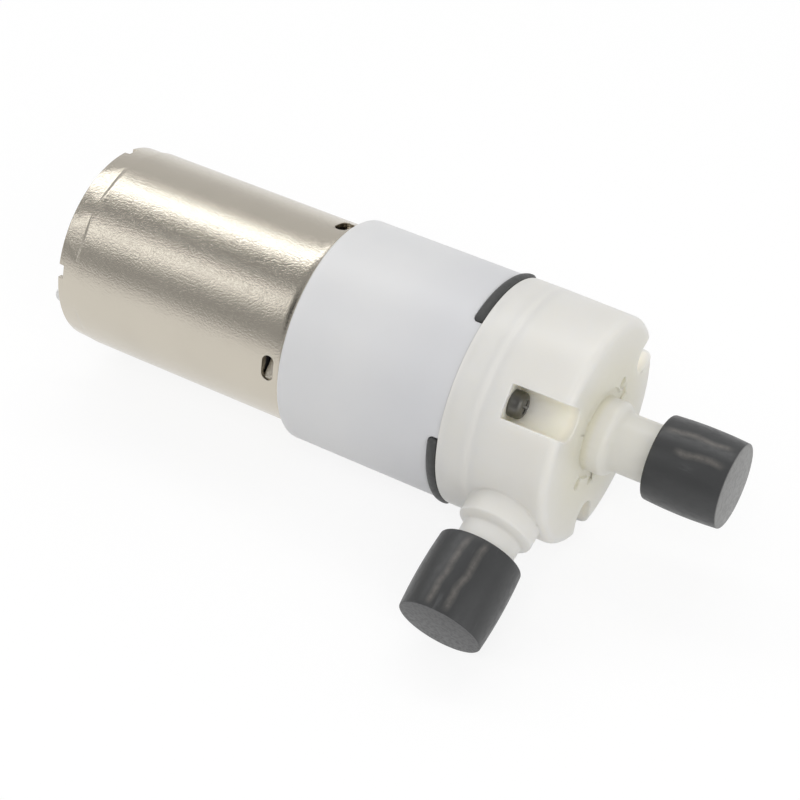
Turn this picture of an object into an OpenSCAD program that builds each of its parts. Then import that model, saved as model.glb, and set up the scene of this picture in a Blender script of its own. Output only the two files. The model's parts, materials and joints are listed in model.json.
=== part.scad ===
// Small diaphragm water pump on a round brushed motor, lying on its side with both hose nozzles capped.
// Lengths are millimetres. X runs along the pump axis from the motor towards the outlet, and Z is up.
// The origin is on the axis, in the middle of the motor wall that a clip or strap holds.
// Pieces are drawn upright, with z along the pump axis from the rear rim and x towards the inlet.

/* [Motor can] */
// Diameter of the motor can
can_d = 24.4; // [22.5:0.1:26]
// Length of the motor can from rear rim to front face
can_l = 31.5; // [30:0.5:38]
// Sheet thickness of the can
can_wall = 0.9; // [0.6:0.1:1.2]
// Radius of the drawn front corner of the can
can_round = 1.4; // [0.6:0.1:1.5]
// Length of the band crimped over the end bell
band_l = 2.7; // [2:0.1:4]
// How far the crimped band is drawn in
band_in = 0.25; // [0.1:0.05:0.4]
// Width of the crimp notches in the rear rim
rim_notch_w = 1.6; // [1:0.1:2.5]
// Depth of the crimp notches in the rear rim
rim_notch_h = 0.7; // [0.3:0.1:1.2]
// Width round the can of the lanced magnet stops
lance_w = 3.2; // [2:0.1:4]
// Length along the can of the lanced magnet stops
lance_h = 1.5; // [1:0.1:2]
// Distance from the front face to the middle of the magnet stops
lance_back = 2.05; // [1.8:0.05:3]
// Angle of the first magnet stop past the inlet nozzle
lance_turn = -30; // [-40:1:-20]
// Angle between the two stops of one magnet
lance_apart = 103; // [90:1:115]

/* [Motor inside] */
// Diameter of the motor shaft
shaft_d = 2; // [1.5:0.1:2.4]
// Diameter of the front bearing boss
boss_d = 6.15; // [5.6:0.05:7]
// Height of the front bearing boss
boss_h = 1.4; // [1:0.1:1.8]
// Thickness of the end bell
bell_t = 2.6; // [2:0.1:3.2]
// Depth of the end bell below the rear rim
bell_in = 1; // [0.8:0.1:1.5]
// Diameter of the end bell hub
hub_d = 6.2; // [5.8:0.1:7.5]
// Height of the end bell hub behind the rear rim
hub_out = 0.8; // [0.3:0.1:1.5]
// Outer diameter of both sintered bearings
bush_d = 4.6; // [4:0.1:5]
// Radial thickness of the magnets
magnet_t = 2.1; // [1.5:0.1:2.4]
// Gap along the can between the end bell and the magnets
magnet_gap = 2.3; // [1.9:0.1:4]
// Angle that each magnet covers
magnet_span = 136; // [120:1:150]
// Gap between the rotor core and the magnets
air_gap = 0.45; // [0.35:0.05:0.7]
// How far each end of the rotor core stands inside the magnets
core_in = 4.25; // [3.75:0.25:5]
// Diameter of the commutator
comm_d = 5.4; // [4.8:0.1:6]
// Length of the commutator
comm_l = 3.8; // [3:0.1:4.5]
// Overhang of the windings past the core
coil_over = 1.6; // [1:0.1:2]
// Width of a winding round its pole
coil_w = 5; // [4:0.1:5.4]
// Width of a pole of the core
pole_w = 2.6; // [2:0.1:3]
// Angle left open between the shoes of the core
pole_gap = 10; // [6:1:14]
// Gap along the shaft between the end bell and the commutator
comm_gap = 0.8; // [0.5:0.1:1.2]
// Thickness of a carbon brush
brush_t = 1.2; // [1:0.1:1.5]
// Reach of a carbon brush past the commutator
brush_reach = 2.2; // [1.8:0.1:2.6]
// Sheet thickness of the brush arms
arm_sheet = 0.3; // [0.2:0.05:0.4]

/* [Terminals] */
// Distance of each terminal from the rim of the end bell
lug_in = 2.65; // [2.5:0.05:3.5]
// Width of a terminal
lug_w = 2.2; // [1.8:0.1:2.6]
// Sheet thickness of a terminal
lug_t = 0.4; // [0.3:0.05:0.6]
// Length of a terminal behind the end bell
lug_out = 5; // [3:0.1:7]
// Diameter of the wire hole in a terminal
lug_hole_d = 1.2; // [0.8:0.1:1.4]
// Angle of the first terminal past the inlet nozzle
lug_turn = 8; // [0:1:20]

/* [Pump housing] */
// How far the side of the pump housing stands back from the side of the head
body_step = 0.1; // [0.05:0.05:0.4]
// Length of the pump housing up to the diaphragm
housing_l = 19.4; // [18.5:0.1:24]
// Wall thickness of the pump housing
housing_wall = 1.6; // [1.2:0.1:1.8]
// Thickness of the housing floor on the motor
housing_floor = 1.8; // [1.5:0.1:2.2]
// Rounding of the housing edge at the motor
housing_round = 0.5; // [0.2:0.1:1]
// Diameter of a pillar that takes a cover screw
pillar_d = 4.2; // [4:0.1:4.4]
// Length of a pillar below the diaphragm
pillar_l = 9; // [7:0.5:12]
// Distance of the motor screws from the axis
motor_screw_r = 8; // [7.6:0.1:8.4]
// Diameter of the motor screws
motor_screw_d = 2.4; // [2:0.1:2.6]
// Head diameter of the motor screws
motor_head_d = 4.2; // [3.6:0.1:4.4]
// Head height of the motor screws
motor_head_h = 1.2; // [1:0.1:1.6]

/* [Wobble drive] */
// Lean of the crank pin from the pump axis
crank_lean = 7.5; // [5:0.5:8]
// Diameter of the crank pin
pin_d = 1.5; // [1.2:0.1:1.6]
// Diameter of the eccentric
eccentric_d = 9.6; // [8:0.2:10]
// Height of the eccentric
eccentric_h = 8; // [7.5:0.1:8.4]
// Length of the motor shaft inside the eccentric
shaft_grip = 4.4; // [3.5:0.1:4.6]
// Diameter of the wobble plate hub
wobble_hub_d = 4.2; // [3.6:0.1:4.6]
// Thickness of the wobble plate arms
arm_t = 1.5; // [1.2:0.1:1.8]
// Width of the wobble plate arms
arm_w = 3; // [2.4:0.1:3.4]
// Diameter of the round pads at the arm ends
pad_d = 5.6; // [5:0.1:6]
// Distance of the arms below the wobble centre
arm_drop = 1.5; // [1.3:0.1:1.8]

/* [Diaphragm] */
// Thickness of the diaphragm sheet
sheet_t = 1.2; // [1:0.1:1.6]
// How far the diaphragm lobes stand out of the housing
lobe_out = 0.35; // [0.1:0.05:0.6]
// Angle that each diaphragm lobe covers
lobe_span = 60; // [56:1:64]
// Distance of the middle of a pump chamber from the side of the head
chamber_in = 6.95; // [6.8:0.05:7.1]
// Thickness of the wall between neighbouring pump chambers
chamber_wall = 3; // [2.8:0.1:3.4]
// Width of the thin web round a diaphragm plunger
web_w = 1; // [0.9:0.05:1.3]
// Thickness of a diaphragm plunger
plunger_t = 1.4; // [1.2:0.1:1.6]
// Diameter of the rubber stem that holds a plunger in its arm
stem_d = 2.4; // [2:0.1:2.8]

/* [Head] */
// Diameter of the head at the diaphragm
head_d = 27.1; // [26.7:0.1:29]
// How far the side of the head leans in towards its front
front_draft = 0.15; // [0.05:0.05:0.3]
// Thickness of the valve plate
plate_t = 3.65; // [3.2:0.05:4.5]
// Depth of the chamber roof in the valve plate
chamber_roof = 1.4; // [1.2:0.1:1.6]
// Height of the pump cover above the valve plate
cover_t = 9.6; // [9:0.1:12]
// Rounding of the front edge
front_round = 1.1; // [0.5:0.1:1.2]
// Chamfer along the seam between the valve plate and the cover
seam_chamfer = 0.1; // [0.1:0.05:0.3]
// Diameter of the inlet valve discs
inlet_valve_d = 4.4; // [4:0.1:5]
// Gap between the outlet valve disc and the wall of its room
valve_edge = 0.4; // [0.3:0.05:0.6]
// Distance of the inlet gallery's inner wall from the middle of a chamber
gallery_back = 1.1; // [1:0.05:1.2]
// Thickness of the wall between the outlet room and the inlet gallery
ring_wall = 1; // [0.8:0.1:1.1]
// Depth of both rooms in the cover
room_h = 5.2; // [4.8:0.1:6]
// Width of the shallow moat round the foot of the outlet nozzle
moat_w = 1; // [0.8:0.1:1.2]
// Depth of the shallow moat and of the cuts towards the screws
moat_h = 0.35; // [0.2:0.05:0.5]
// Width of the shallow cuts towards the screws
cut_w = 1.6; // [1:0.1:2]
// Diameter of the two moulding holes in the front
core_hole_d = 1.4; // [1:0.1:1.6]
// Depth of the two moulding holes
core_hole_h = 0.8; // [0.5:0.1:1.2]
// Angle of the moulding holes past the inlet nozzle
core_hole_turn = 15.3; // [8:0.1:25]

/* [Cover screws] */
// Distance of the cover screws from the side of the head
screw_in = 2.35; // [2.15:0.05:2.45]
// Width of the open screw slots
slot_w = 3.9; // [3.7:0.1:4]
// Height of the slot floor above the valve plate
slot_floor = 2.6; // [2:0.1:4]
// Rounding of the slot edges at the front
slot_round = 0.6; // [0.3:0.1:0.9]
// Diameter of a cover screw
screw_d = 1.8; // [1.6:0.1:2]
// Head diameter of a cover screw
screw_head_d = 2.8; // [2.7:0.1:3.4]
// Head height of a cover screw
screw_head_h = 1.45; // [1.3:0.05:2.2]
// Length of a cover screw below its head
screw_l = 13; // [11:0.5:14]

/* [Nozzles] */
// Diameter of both hose nozzles where a hose seats
nozzle_d = 6.84; // [6.4:0.02:7.2]
// Diameter of both nozzles at the tip
tip_d = 6.5; // [6:0.1:6.7]
// Bore of both nozzles
nozzle_bore = 3.4; // [2.5:0.1:3.8]
// Diameter of the collar at the foot of each nozzle
collar_d = 8.7; // [8:0.1:9]
// Height of the collar
collar_h = 2; // [1.5:0.1:2.4]
// Height of the chamfer above the collar
collar_chamfer = 0.65; // [0.4:0.05:0.9]
// Distance of the inlet nozzle from the back of the cover
inlet_h = 4.5; // [4.4:0.1:5]
// Angle of the inlet nozzle past the middle of its chamber
inlet_turn = 3.3; // [0:0.1:5]
// Length of hose seat between the collar and the outlet cap
outlet_seat = 4.5; // [3:0.1:8]
// Length of hose seat between the collar and the inlet cap
inlet_seat = 2.5; // [2.2:0.1:8]

/* [Caps] */
// Largest diameter of a nozzle cap
cap_d = 10.2; // [9.8:0.1:11]
// Diameter of a cap at its ends
cap_end_d = 9.8; // [9.4:0.1:9.8]
// Length of the outlet cap
outlet_cap_l = 8.9; // [8.5:0.1:14]
// Length of the inlet cap
inlet_cap_l = 9.5; // [8.5:0.1:14]
// Thickness of the closed end of a cap
cap_floor = 1.4; // [1:0.1:2]
// Rounding of the cap edges
cap_round = 0.3; // [0.1:0.05:0.4]

/* [Clearances] */
// Radial clearance of a shaft or pin that turns
run_gap = 0.04; // [0.02:0.01:0.08]
// Radial clearance between pieces fitted together
fit_gap = 0.05; // [0.02:0.01:0.1]
// Gap between neighbours that move past each other
free_gap = 0.4; // [0.35:0.05:0.6]

/* [Hidden] */
$fn = 96;
eps = 0.01;
chambers = 3;
poles = 3;
step = 360 / chambers;
can_r = can_d / 2;
bell_r = can_r - can_wall - fit_gap;
lug_r = bell_r - lug_in;
body_d = head_d - 2 * body_step;
front_d = head_d - 2 * front_draft;
screw_r = head_d / 2 - screw_in;
chamber_r = head_d / 2 - chamber_in;
core_hole_r = collar_d / 2 + moat_w + core_hole_d / 2 + 0.15;
bell_top = bell_in + bell_t;
z_sheet = can_l + housing_l;
z_plate = z_sheet + sheet_t;
z_cover = z_plate + plate_t;
z_front = z_cover + cover_t;
z_inlet = z_cover + inlet_h;
z_floor = can_l + housing_floor;
grip_z = (band_l + can_l - can_round) / 2;
cavity_r = body_d / 2 - housing_wall;
sheet_cut_r = screw_r - pillar_d / 2;
// wobble centre on the pump axis, level with the plungers
z_wobble = z_sheet - 0.3;
z_eccentric = max(can_l + boss_h, z_floor) + free_gap;
eccentric_top = z_eccentric + eccentric_h;
shaft_end = z_eccentric + shaft_grip;
arm_top = -arm_drop;
pin_low = (shaft_end + 0.3 - z_wobble) / cos(crank_lean);
hub_low = (eccentric_top + free_gap - z_wobble) / cos(crank_lean) + wobble_hub_d / 2 * tan(crank_lean);
pin_top = arm_top - arm_t - 0.2;
magnet_r = can_r - can_wall - fit_gap;
magnet_front = can_l - lance_back - lance_h / 2 - 0.2;
bell_ring_h = 1.6;
tab_t = 0.4;
tab_gap = 0.18;
tab_lean = 30;
magnet_l = magnet_front - bell_top - bell_ring_h - magnet_gap;
core_l = magnet_l - 2 * core_in;
core_r = magnet_r - magnet_t - air_gap;
core_mid = magnet_front - magnet_l / 2;
core_low = core_mid - core_l / 2;
shoe_t = 1.3;
pole_root = 3.4;
coil_out = sqrt(pow(core_r - shoe_t - fit_gap, 2) - pow(coil_w / 2, 2));
core_top = core_mid + core_l / 2;
comm_low = bell_top + comm_gap;
bush_gap = 0.15;
chamber_d = 2 * chamber_r * sin(step / 2) - chamber_wall;
plunger_d = chamber_d - 2 * web_w;
gallery_in = chamber_r - gallery_back;
outlet_room_d = 2 * (gallery_in - ring_wall);
outlet_valve_d = outlet_room_d - 2 * valve_edge;
pillar_root = 3;
gallery_out = screw_r - slot_w / 2 - 0.8;
port_r = outlet_room_d / 2 - 1;
nozzle_r = nozzle_d / 2;
tip_gap = 0.5;
outlet_tip_l = outlet_cap_l - cap_floor - tip_gap;
inlet_tip_l = inlet_cap_l - cap_floor - tip_gap;
foot_h = collar_h + collar_chamfer;
outlet_mouth = z_front + foot_h + outlet_seat;
inlet_mouth = front_d / 2 + foot_h + inlet_seat;
cap_foot = inlet_mouth + inlet_cap_l - cap_round;
cap_edge = cap_end_d / 2 - cap_round;
// the pump lies on its head and on the rim of the inlet cap
lean = asin((head_d / 2 - cap_round) / norm([cap_foot, cap_edge])) - atan(cap_edge / cap_foot);
pin_turn = -90 - lean;

// from the upright drawing to the lying pump
module laid() {
  translate([-grip_z, 0, 0])
    rotate([lean - 90, 0, 0])
      rotate([0, 90, 0])
        children();
}

module around(n, start = 0) {
  for (k = [0 : n - 1])
    rotate([0, 0, start + k * 360 / n])
      children();
}

// chambers and lobes share these places, and the screws sit half a step on
module at_chambers() {
  around(chambers, -inlet_turn) children();
}

module at_screws() {
  around(chambers, step / 2 - inlet_turn) translate([screw_r, 0, 0]) children();
}

// a flat sector between two radii, centred on x
module sector(r_in, r_out, span, h) {
  rotate([0, 0, -span / 2])
    rotate_extrude(angle = span)
      translate([r_in, 0])
        square([r_out - r_in, h]);
}

// half profile of a disc with a rounded top edge
module rounded_top(r, h, f) {
  union() {
    square([r, h - f]);
    square([r - f, h]);
    translate([r - f, h - f]) circle(f);
  }
}

// the wobbling group's frame, with its origin at the wobble centre
module wobbling() {
  translate([0, 0, z_wobble])
    rotate([0, 0, pin_turn])
      rotate([0, crank_lean, 0])
        rotate([0, 0, -pin_turn])
          children();
}

module can_outline() {
  translate([0, can_l - can_round]) square([can_r - can_round, can_round]);
  translate([0, band_l]) square([can_r, can_l - can_round - band_l]);
  translate([can_r - can_round, can_l - can_round]) circle(can_round);
  polygon([[0, 0], [can_r - band_in, 0], [can_r - band_in, band_l - band_in],
           [can_r, band_l], [0, band_l]]);
}

module lance_hole() {
  translate([can_r - can_wall / 2, 0, can_l - lance_back])
    rotate([0, 90, 0])
      linear_extrude(can_wall * 2, center = true)
        union() {
          square([lance_h, lance_w - lance_h], center = true);
          translate([0, (lance_w - lance_h) / 2]) circle(lance_h / 2, $fn = 32);
          translate([0, -(lance_w - lance_h) / 2]) circle(lance_h / 2, $fn = 32);
        }
}

// the stop stays joined at one end of its hole and leans in from there
module lance_tab() {
  translate([can_r - can_wall * 0.6, lance_w / 2 + 0.1, can_l - lance_back])
    rotate([0, 0, -tab_lean])
      translate([-tab_t / 2, -lance_w * 0.75, -lance_h / 2 + tab_gap])
        cube([tab_t, lance_w * 0.75, lance_h - 2 * tab_gap]);
}

module motor_can() {
  color("silver")
    laid()
      union() {
        difference() {
          rotate_extrude() can_outline();
          translate([0, 0, -eps]) cylinder(r = can_r - can_wall, h = can_l - can_wall + eps);
          cylinder(r = bush_d / 2 + fit_gap, h = can_l + eps);
          around(2, lug_turn) motor_screw_hole();
          around(4, lug_turn + 45) rim_notch();
          around(2, lance_turn) lance_hole();
          around(2, lance_turn - lance_apart) lance_hole();
        }
        difference() {
          translate([0, 0, can_l - can_wall]) cylinder(r = boss_d / 2, h = boss_h + can_wall);
          translate([0, 0, can_l - can_wall - eps])
            cylinder(r = bush_d / 2 + fit_gap, h = boss_h + can_wall / 2);
          cylinder(r = shaft_d / 2 + 0.4, h = can_l + boss_h + 1);
        }
        around(2, lance_turn) lance_tab();
        around(2, lance_turn - lance_apart) lance_tab();
      }
}

module motor_screw_hole() {
  translate([motor_screw_r, 0, can_l - can_wall - 1])
    cylinder(r = motor_screw_d / 2 + fit_gap, h = housing_floor + can_wall + 2, $fn = 48);
}

module rim_notch() {
  translate([can_r - can_wall * 2, -rim_notch_w / 2, -eps])
    cube([can_wall * 3, rim_notch_w, rim_notch_h]);
}

module end_bell() {
  color("ivory")
    laid()
      difference() {
        union() {
          translate([0, 0, bell_in]) cylinder(r = bell_r, h = bell_t);
          translate([0, 0, bell_in]) cylinder(r = bell_r - 0.3, h = bell_t + bell_ring_h);
          translate([0, 0, -hub_out]) cylinder(r1 = hub_d / 2 - 0.3, r2 = hub_d / 2, h = 0.3);
          translate([0, 0, 0.3 - hub_out]) cylinder(r = hub_d / 2, h = bell_in + hub_out);
          around(4, lug_turn + 45) translate([bell_r - 1.2, -rim_notch_w / 2 + fit_gap, rim_notch_h])
            cube([1.2, rim_notch_w - 2 * fit_gap, bell_in + 0.3 - rim_notch_h]);
        }
        translate([0, 0, bell_top]) cylinder(r = bell_r - 1.2, h = bell_t + 2);
        translate([0, 0, 0.5 - hub_out]) cylinder(r = bush_d / 2 + fit_gap, h = bell_top + hub_out);
        translate([0, 0, -hub_out - eps]) cylinder(r = shaft_d / 2 + 0.4, h = 1);
        around(2, lug_turn) translate([lug_r, 0, bell_in + bell_t / 2])
          cube([lug_w + 2 * fit_gap, lug_t + 2 * fit_gap, bell_t + 1], center = true);
      }
}

module terminals() {
  color("gainsboro")
    laid()
      around(2, lug_turn)
        difference() {
          translate([lug_r, lug_t / 2, 0])
            rotate([90, 0, 0])
              linear_extrude(lug_t)
                union() {
                  translate([-lug_w / 2, bell_in + lug_w / 2 - lug_out])
                    square([lug_w, comm_low + 1 - bell_in + lug_out - lug_w / 2]);
                  translate([0, bell_in + lug_w / 2 - lug_out]) circle(lug_w / 2, $fn = 48);
                }
          translate([lug_r, lug_t, bell_in + lug_w / 2 - lug_out])
            rotate([90, 0, 0])
              cylinder(r = lug_hole_d / 2, h = lug_t * 2, $fn = 48);
        }
}

module brush_arms() {
  color("darkgoldenrod")
    laid()
      around(2, lug_turn)
        difference() {
          translate([comm_d / 2 + brush_reach / 2, lug_t / 2 + fit_gap, comm_low])
            cube([lug_r + lug_w / 2 - comm_d / 2 - brush_reach / 2, arm_sheet, comm_l * 0.9]);
          translate([comm_d / 2 + brush_reach + 0.8, 0, comm_low + comm_l / 3])
            cube([brush_reach * 0.7, lug_t + arm_sheet + 1, comm_l / 3]);
        }
}

module brushes() {
  color("dimgray")
    laid()
      around(2, lug_turn)
        difference() {
          translate([0, lug_t / 2 + fit_gap - brush_t, comm_low + comm_l / 4])
            cube([comm_d / 2 + brush_reach, brush_t, comm_l / 2]);
          translate([0, 0, comm_low]) cylinder(r = comm_d / 2 + run_gap, h = comm_l);
        }
}

module magnets() {
  color("dimgray")
    laid()
      around(2, lance_turn - lance_apart / 2)
        translate([0, 0, magnet_front - magnet_l])
          sector(magnet_r - magnet_t, magnet_r, magnet_span, magnet_l);
}

module bearing(z0, l) {
  translate([0, 0, z0])
    difference() {
      cylinder(r = bush_d / 2, h = l);
      translate([0, 0, -eps]) cylinder(r = shaft_d / 2 + run_gap, h = l + 2 * eps);
    }
}

module front_bearing() {
  color("peru") laid() bearing(can_l - can_wall - 1, boss_h + can_wall / 2 + 1 - fit_gap);
}

module rear_bearing() {
  color("peru") laid() bearing(0.5 - hub_out + fit_gap, bell_top + hub_out - 0.5 - fit_gap);
}

module motor_screws() {
  color("dimgray")
    laid()
      around(2, lug_turn)
        translate([motor_screw_r, 0, z_floor + fit_gap])
          difference() {
            union() {
              cylinder(r = motor_head_d / 2, h = motor_head_h - 0.4);
              translate([0, 0, motor_head_h - 0.4])
                cylinder(r1 = motor_head_d / 2, r2 = motor_head_d / 2 - 0.6, h = 0.4);
              translate([0, 0, -housing_floor - can_wall])
                cylinder(r = motor_screw_d / 2, h = housing_floor + can_wall + eps);
            }
            translate([0, 0, motor_head_h]) cube([motor_head_d * 0.6, 0.5, 1.2], center = true);
            translate([0, 0, motor_head_h]) cube([0.5, motor_head_d * 0.6, 1.2], center = true);
          }
}

module motor_shaft() {
  color("lightsteelblue")
    laid()
      union() {
        translate([0, 0, -hub_out + 0.1]) cylinder(r = shaft_d / 2, h = shaft_end - 0.3 + hub_out - 0.1);
        translate([0, 0, shaft_end - 0.3]) cylinder(r1 = shaft_d / 2, r2 = shaft_d / 2 - 0.2, h = 0.3);
      }
}

module rotor_core() {
  color("slategray")
    laid()
      translate([0, 0, core_low])
        difference() {
          union() {
            cylinder(r = pole_root, h = core_l);
            around(poles)
              translate([pole_root / 2, -pole_w / 2, 0])
                cube([core_r - shoe_t / 2 - pole_root / 2, pole_w, core_l]);
            around(poles) sector(core_r - shoe_t, core_r, 360 / poles - pole_gap, core_l);
          }
          translate([0, 0, -1]) cylinder(r = shaft_d / 2, h = core_l + 2);
        }
}

module windings() {
  color("orangered")
    laid()
      around(poles)
        difference() {
          translate([pole_root + 0.1, -coil_w / 2, core_low - coil_over])
            cube([coil_out - pole_root - 0.1, coil_w, core_l + 2 * coil_over]);
          translate([pole_root - 0.4, -pole_w / 2 - fit_gap, core_low - fit_gap])
            cube([core_r, pole_w + 2 * fit_gap, core_l + 2 * fit_gap]);
        }
}

module commutator() {
  color("orange")
    laid()
      translate([0, 0, comm_low])
        difference() {
          union() {
            cylinder(r = comm_d / 2, h = comm_l);
            translate([0, 0, comm_l]) cylinder(r = comm_d / 2 + 0.6, h = 0.5);
          }
          translate([0, 0, -1]) cylinder(r = shaft_d / 2, h = comm_l + 2);
          around(poles, 180 / poles)
            translate([comm_d / 2 - 0.5, -0.15, -1])
              cube([2, 0.3, comm_l + 2]);
        }
}

module spacer(z0, z1) {
  translate([0, 0, z0])
    difference() {
      cylinder(r = shaft_d / 2 + 0.8, h = z1 - z0);
      translate([0, 0, -1]) cylinder(r = shaft_d / 2, h = z1 - z0 + 2);
    }
}

module shaft_spacers() {
  color("white")
    laid()
      union() {
        spacer(bell_top + bush_gap, comm_low);
        spacer(core_top, can_l - can_wall - 1 - bush_gap);
      }
}

module eccentric() {
  color("whitesmoke")
    laid()
      difference() {
        union() {
          translate([0, 0, z_eccentric]) cylinder(r = eccentric_d / 2 - 1, h = eccentric_h);
          translate([0, 0, z_eccentric + 1.5]) cylinder(r = eccentric_d / 2, h = eccentric_h - 2);
          translate([0, 0, eccentric_top - 0.5])
            cylinder(r1 = eccentric_d / 2, r2 = eccentric_d / 2 - 0.5, h = 0.5);
        }
        translate([0, 0, z_eccentric - 1]) cylinder(r = shaft_d / 2, h = shaft_grip + 1);
        wobbling() translate([0, 0, pin_low]) cylinder(r = pin_d / 2, h = eccentric_h);
        // lightening pocket opposite the pin
        rotate([0, 0, pin_turn])
          translate([eccentric_d / 4 + 0.3, 0, shaft_end + 0.4])
            cylinder(r = 0.9, h = eccentric_h);
      }
}

module crank_pin() {
  color("lightsteelblue")
    laid()
      wobbling()
        translate([0, 0, pin_low])
          cylinder(r = pin_d / 2, h = pin_top - pin_low);
}

module wobble_outline() {
  difference() {
    union() {
      circle(wobble_hub_d / 2 + 0.9);
      at_chambers() translate([0, -arm_w / 2]) square([chamber_r, arm_w]);
      at_chambers() translate([chamber_r, 0]) circle(pad_d / 2);
    }
    at_chambers() translate([chamber_r, 0]) circle(stem_d / 2);
  }
}

module wobble_plate() {
  color("khaki")
    laid()
      wobbling()
        difference() {
          union() {
            rotate_extrude()
              polygon([[0, hub_low], [wobble_hub_d / 2, hub_low], [wobble_hub_d / 2, arm_top - arm_t - 1],
                       [wobble_hub_d / 2 + 0.7, arm_top - 0.4], [wobble_hub_d / 2 + 0.7, arm_top + 0.3],
                       [0, arm_top + 0.3]]);
            translate([0, 0, arm_top - arm_t]) linear_extrude(arm_t) wobble_outline();
            translate([0, 0, arm_top - arm_t - 0.8])
              linear_extrude(1.2)
                at_chambers() translate([0, -0.5]) square([chamber_r - pad_d / 4, 1]);
          }
          translate([0, 0, hub_low - 1]) cylinder(r = pin_d / 2 + run_gap, h = pin_top + 0.3 - hub_low + 1);
        }
}

module plungers() {
  color("dimgray")
    laid()
      wobbling()
        at_chambers()
          translate([chamber_r, 0, 0])
            union() {
              translate([0, 0, -plunger_t / 2]) cylinder(r = plunger_d / 2, h = plunger_t - 0.3);
              translate([0, 0, plunger_t / 2 - 0.3])
                cylinder(r1 = plunger_d / 2, r2 = plunger_d / 2 - 0.3, h = 0.3);
              translate([0, 0, arm_top]) cylinder(r = stem_d / 2 + 0.7, h = arm_drop);
              translate([0, 0, arm_top - arm_t - 0.5]) cylinder(r = stem_d / 2, h = arm_t + 1);
              translate([0, 0, arm_top - arm_t - 0.9])
                cylinder(r1 = stem_d / 2 - 0.3, r2 = stem_d / 2 + 0.5, h = 0.9);
            }
}

module pump_housing() {
  color("aliceblue")
    laid()
      difference() {
        union() {
          difference() {
            translate([0, 0, z_sheet])
              mirror([0, 0, 1])
                rotate_extrude()
                  rounded_top(body_d / 2, housing_l, housing_round);
            translate([0, 0, z_floor]) cylinder(r = cavity_r, h = housing_l);
          }
          intersection() {
            cylinder(r = body_d / 2 - housing_wall / 2, h = z_plate);
            at_screws()
              translate([0, 0, z_sheet - pillar_l])
                cylinder(r = pillar_d / 2, h = pillar_l + sheet_t);
          }
          around(chambers, step / 2 - inlet_turn)
            translate([0, 0, z_sheet - pillar_root])
              sector(sheet_cut_r + fit_gap, body_d / 2, step - lobe_span - 0.6, pillar_root + sheet_t);
        }
        cylinder(r = boss_d / 2 + fit_gap, h = z_floor + eps);
        around(2, lug_turn) motor_screw_hole();
        at_screws()
          translate([0, 0, z_cover + slot_floor - screw_l - 1])
            cylinder(r = screw_d / 2, h = screw_l + 2);
      }
}

module diaphragm() {
  color("dimgray")
    laid()
      difference() {
        union() {
          translate([0, 0, z_sheet])
            rotate_extrude()
              union() {
                square([body_d / 2 + lobe_out - sheet_t / 2, sheet_t]);
                translate([body_d / 2 + lobe_out - sheet_t / 2, sheet_t / 2]) circle(sheet_t / 2);
              }
          at_chambers()
            translate([chamber_r, 0, z_sheet - 0.9])
              cylinder(r = chamber_d / 2 + 0.3, h = 1);
        }
        around(chambers, step / 2 - inlet_turn)
          translate([0, 0, z_sheet - 1])
            sector(sheet_cut_r, body_d, step - lobe_span, sheet_t + 2);
        at_chambers()
          translate([chamber_r, 0, z_sheet - 2])
            cylinder(r = chamber_d / 2, h = sheet_t + 3);
      }
}

module valve_plate() {
  color("ivory")
    laid()
      difference() {
        union() {
          translate([0, 0, z_plate]) cylinder(r = head_d / 2, h = plate_t - seam_chamfer);
          translate([0, 0, z_cover - seam_chamfer])
            cylinder(r1 = head_d / 2, r2 = head_d / 2 - seam_chamfer, h = seam_chamfer);
        }
        at_chambers() {
          translate([chamber_r, 0, z_plate - 1]) cylinder(r = chamber_d / 2, h = chamber_roof + 1);
          translate([chamber_r, 0, z_plate]) cylinder(r = 0.6, h = plate_t + 1, $fn = 32);
          translate([chamber_r, 0, 0])
            around(4, 45)
              translate([1.4, 0, z_plate])
                cylinder(r = 0.45, h = plate_t + 1, $fn = 24);
          translate([port_r, 0, z_plate]) cylinder(r = 0.6, h = plate_t + 1, $fn = 32);
        }
        translate([0, 0, z_plate + chamber_roof]) cylinder(r = 0.7, h = plate_t, $fn = 32);
        at_screws() translate([0, 0, z_plate - 1]) cylinder(r = screw_d / 2 + 0.1, h = plate_t + 2, $fn = 48);
      }
}

module inlet_valves() {
  color("darkorange")
    laid()
      at_chambers()
        translate([chamber_r, 0, z_plate + chamber_roof])
          union() {
            translate([0, 0, -0.4]) cylinder(r = inlet_valve_d / 2, h = 0.4);
            cylinder(r = 0.55, h = plate_t - chamber_roof, $fn = 32);
            translate([0, 0, plate_t - chamber_roof]) cylinder(r1 = 0.9, r2 = 0.4, h = 1, $fn = 32);
          }
}

module outlet_valve() {
  color("darkorange")
    laid()
      translate([0, 0, z_cover])
        difference() {
          union() {
            cylinder(r = outlet_valve_d / 2, h = 0.5);
            cylinder(r = 1.4, h = 0.9);
            translate([0, 0, -plate_t + chamber_roof + 0.3])
              cylinder(r = 0.65, h = plate_t - chamber_roof, $fn = 32);
          }
          around(chambers, step / 2 - inlet_turn)
            translate([1.8, -0.15, -0.5])
              cube([outlet_valve_d, 0.3, 2]);
        }
}

// collar, chamfer, hose seat and tapered tip of a nozzle, standing on z = 0 and sunk by root
module nozzle(seat, tip_l, root) {
  union() {
    translate([0, 0, -root]) cylinder(r = collar_d / 2, h = collar_h + root);
    translate([0, 0, collar_h]) cylinder(r1 = collar_d / 2, r2 = nozzle_r, h = collar_chamfer);
    translate([0, 0, foot_h]) cylinder(r = nozzle_r, h = seat - tip_gap / 2);
    translate([0, 0, foot_h + seat - tip_gap / 2])
      cylinder(r1 = nozzle_r, r2 = tip_d / 2, h = tip_l + tip_gap / 2);
  }
}

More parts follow.
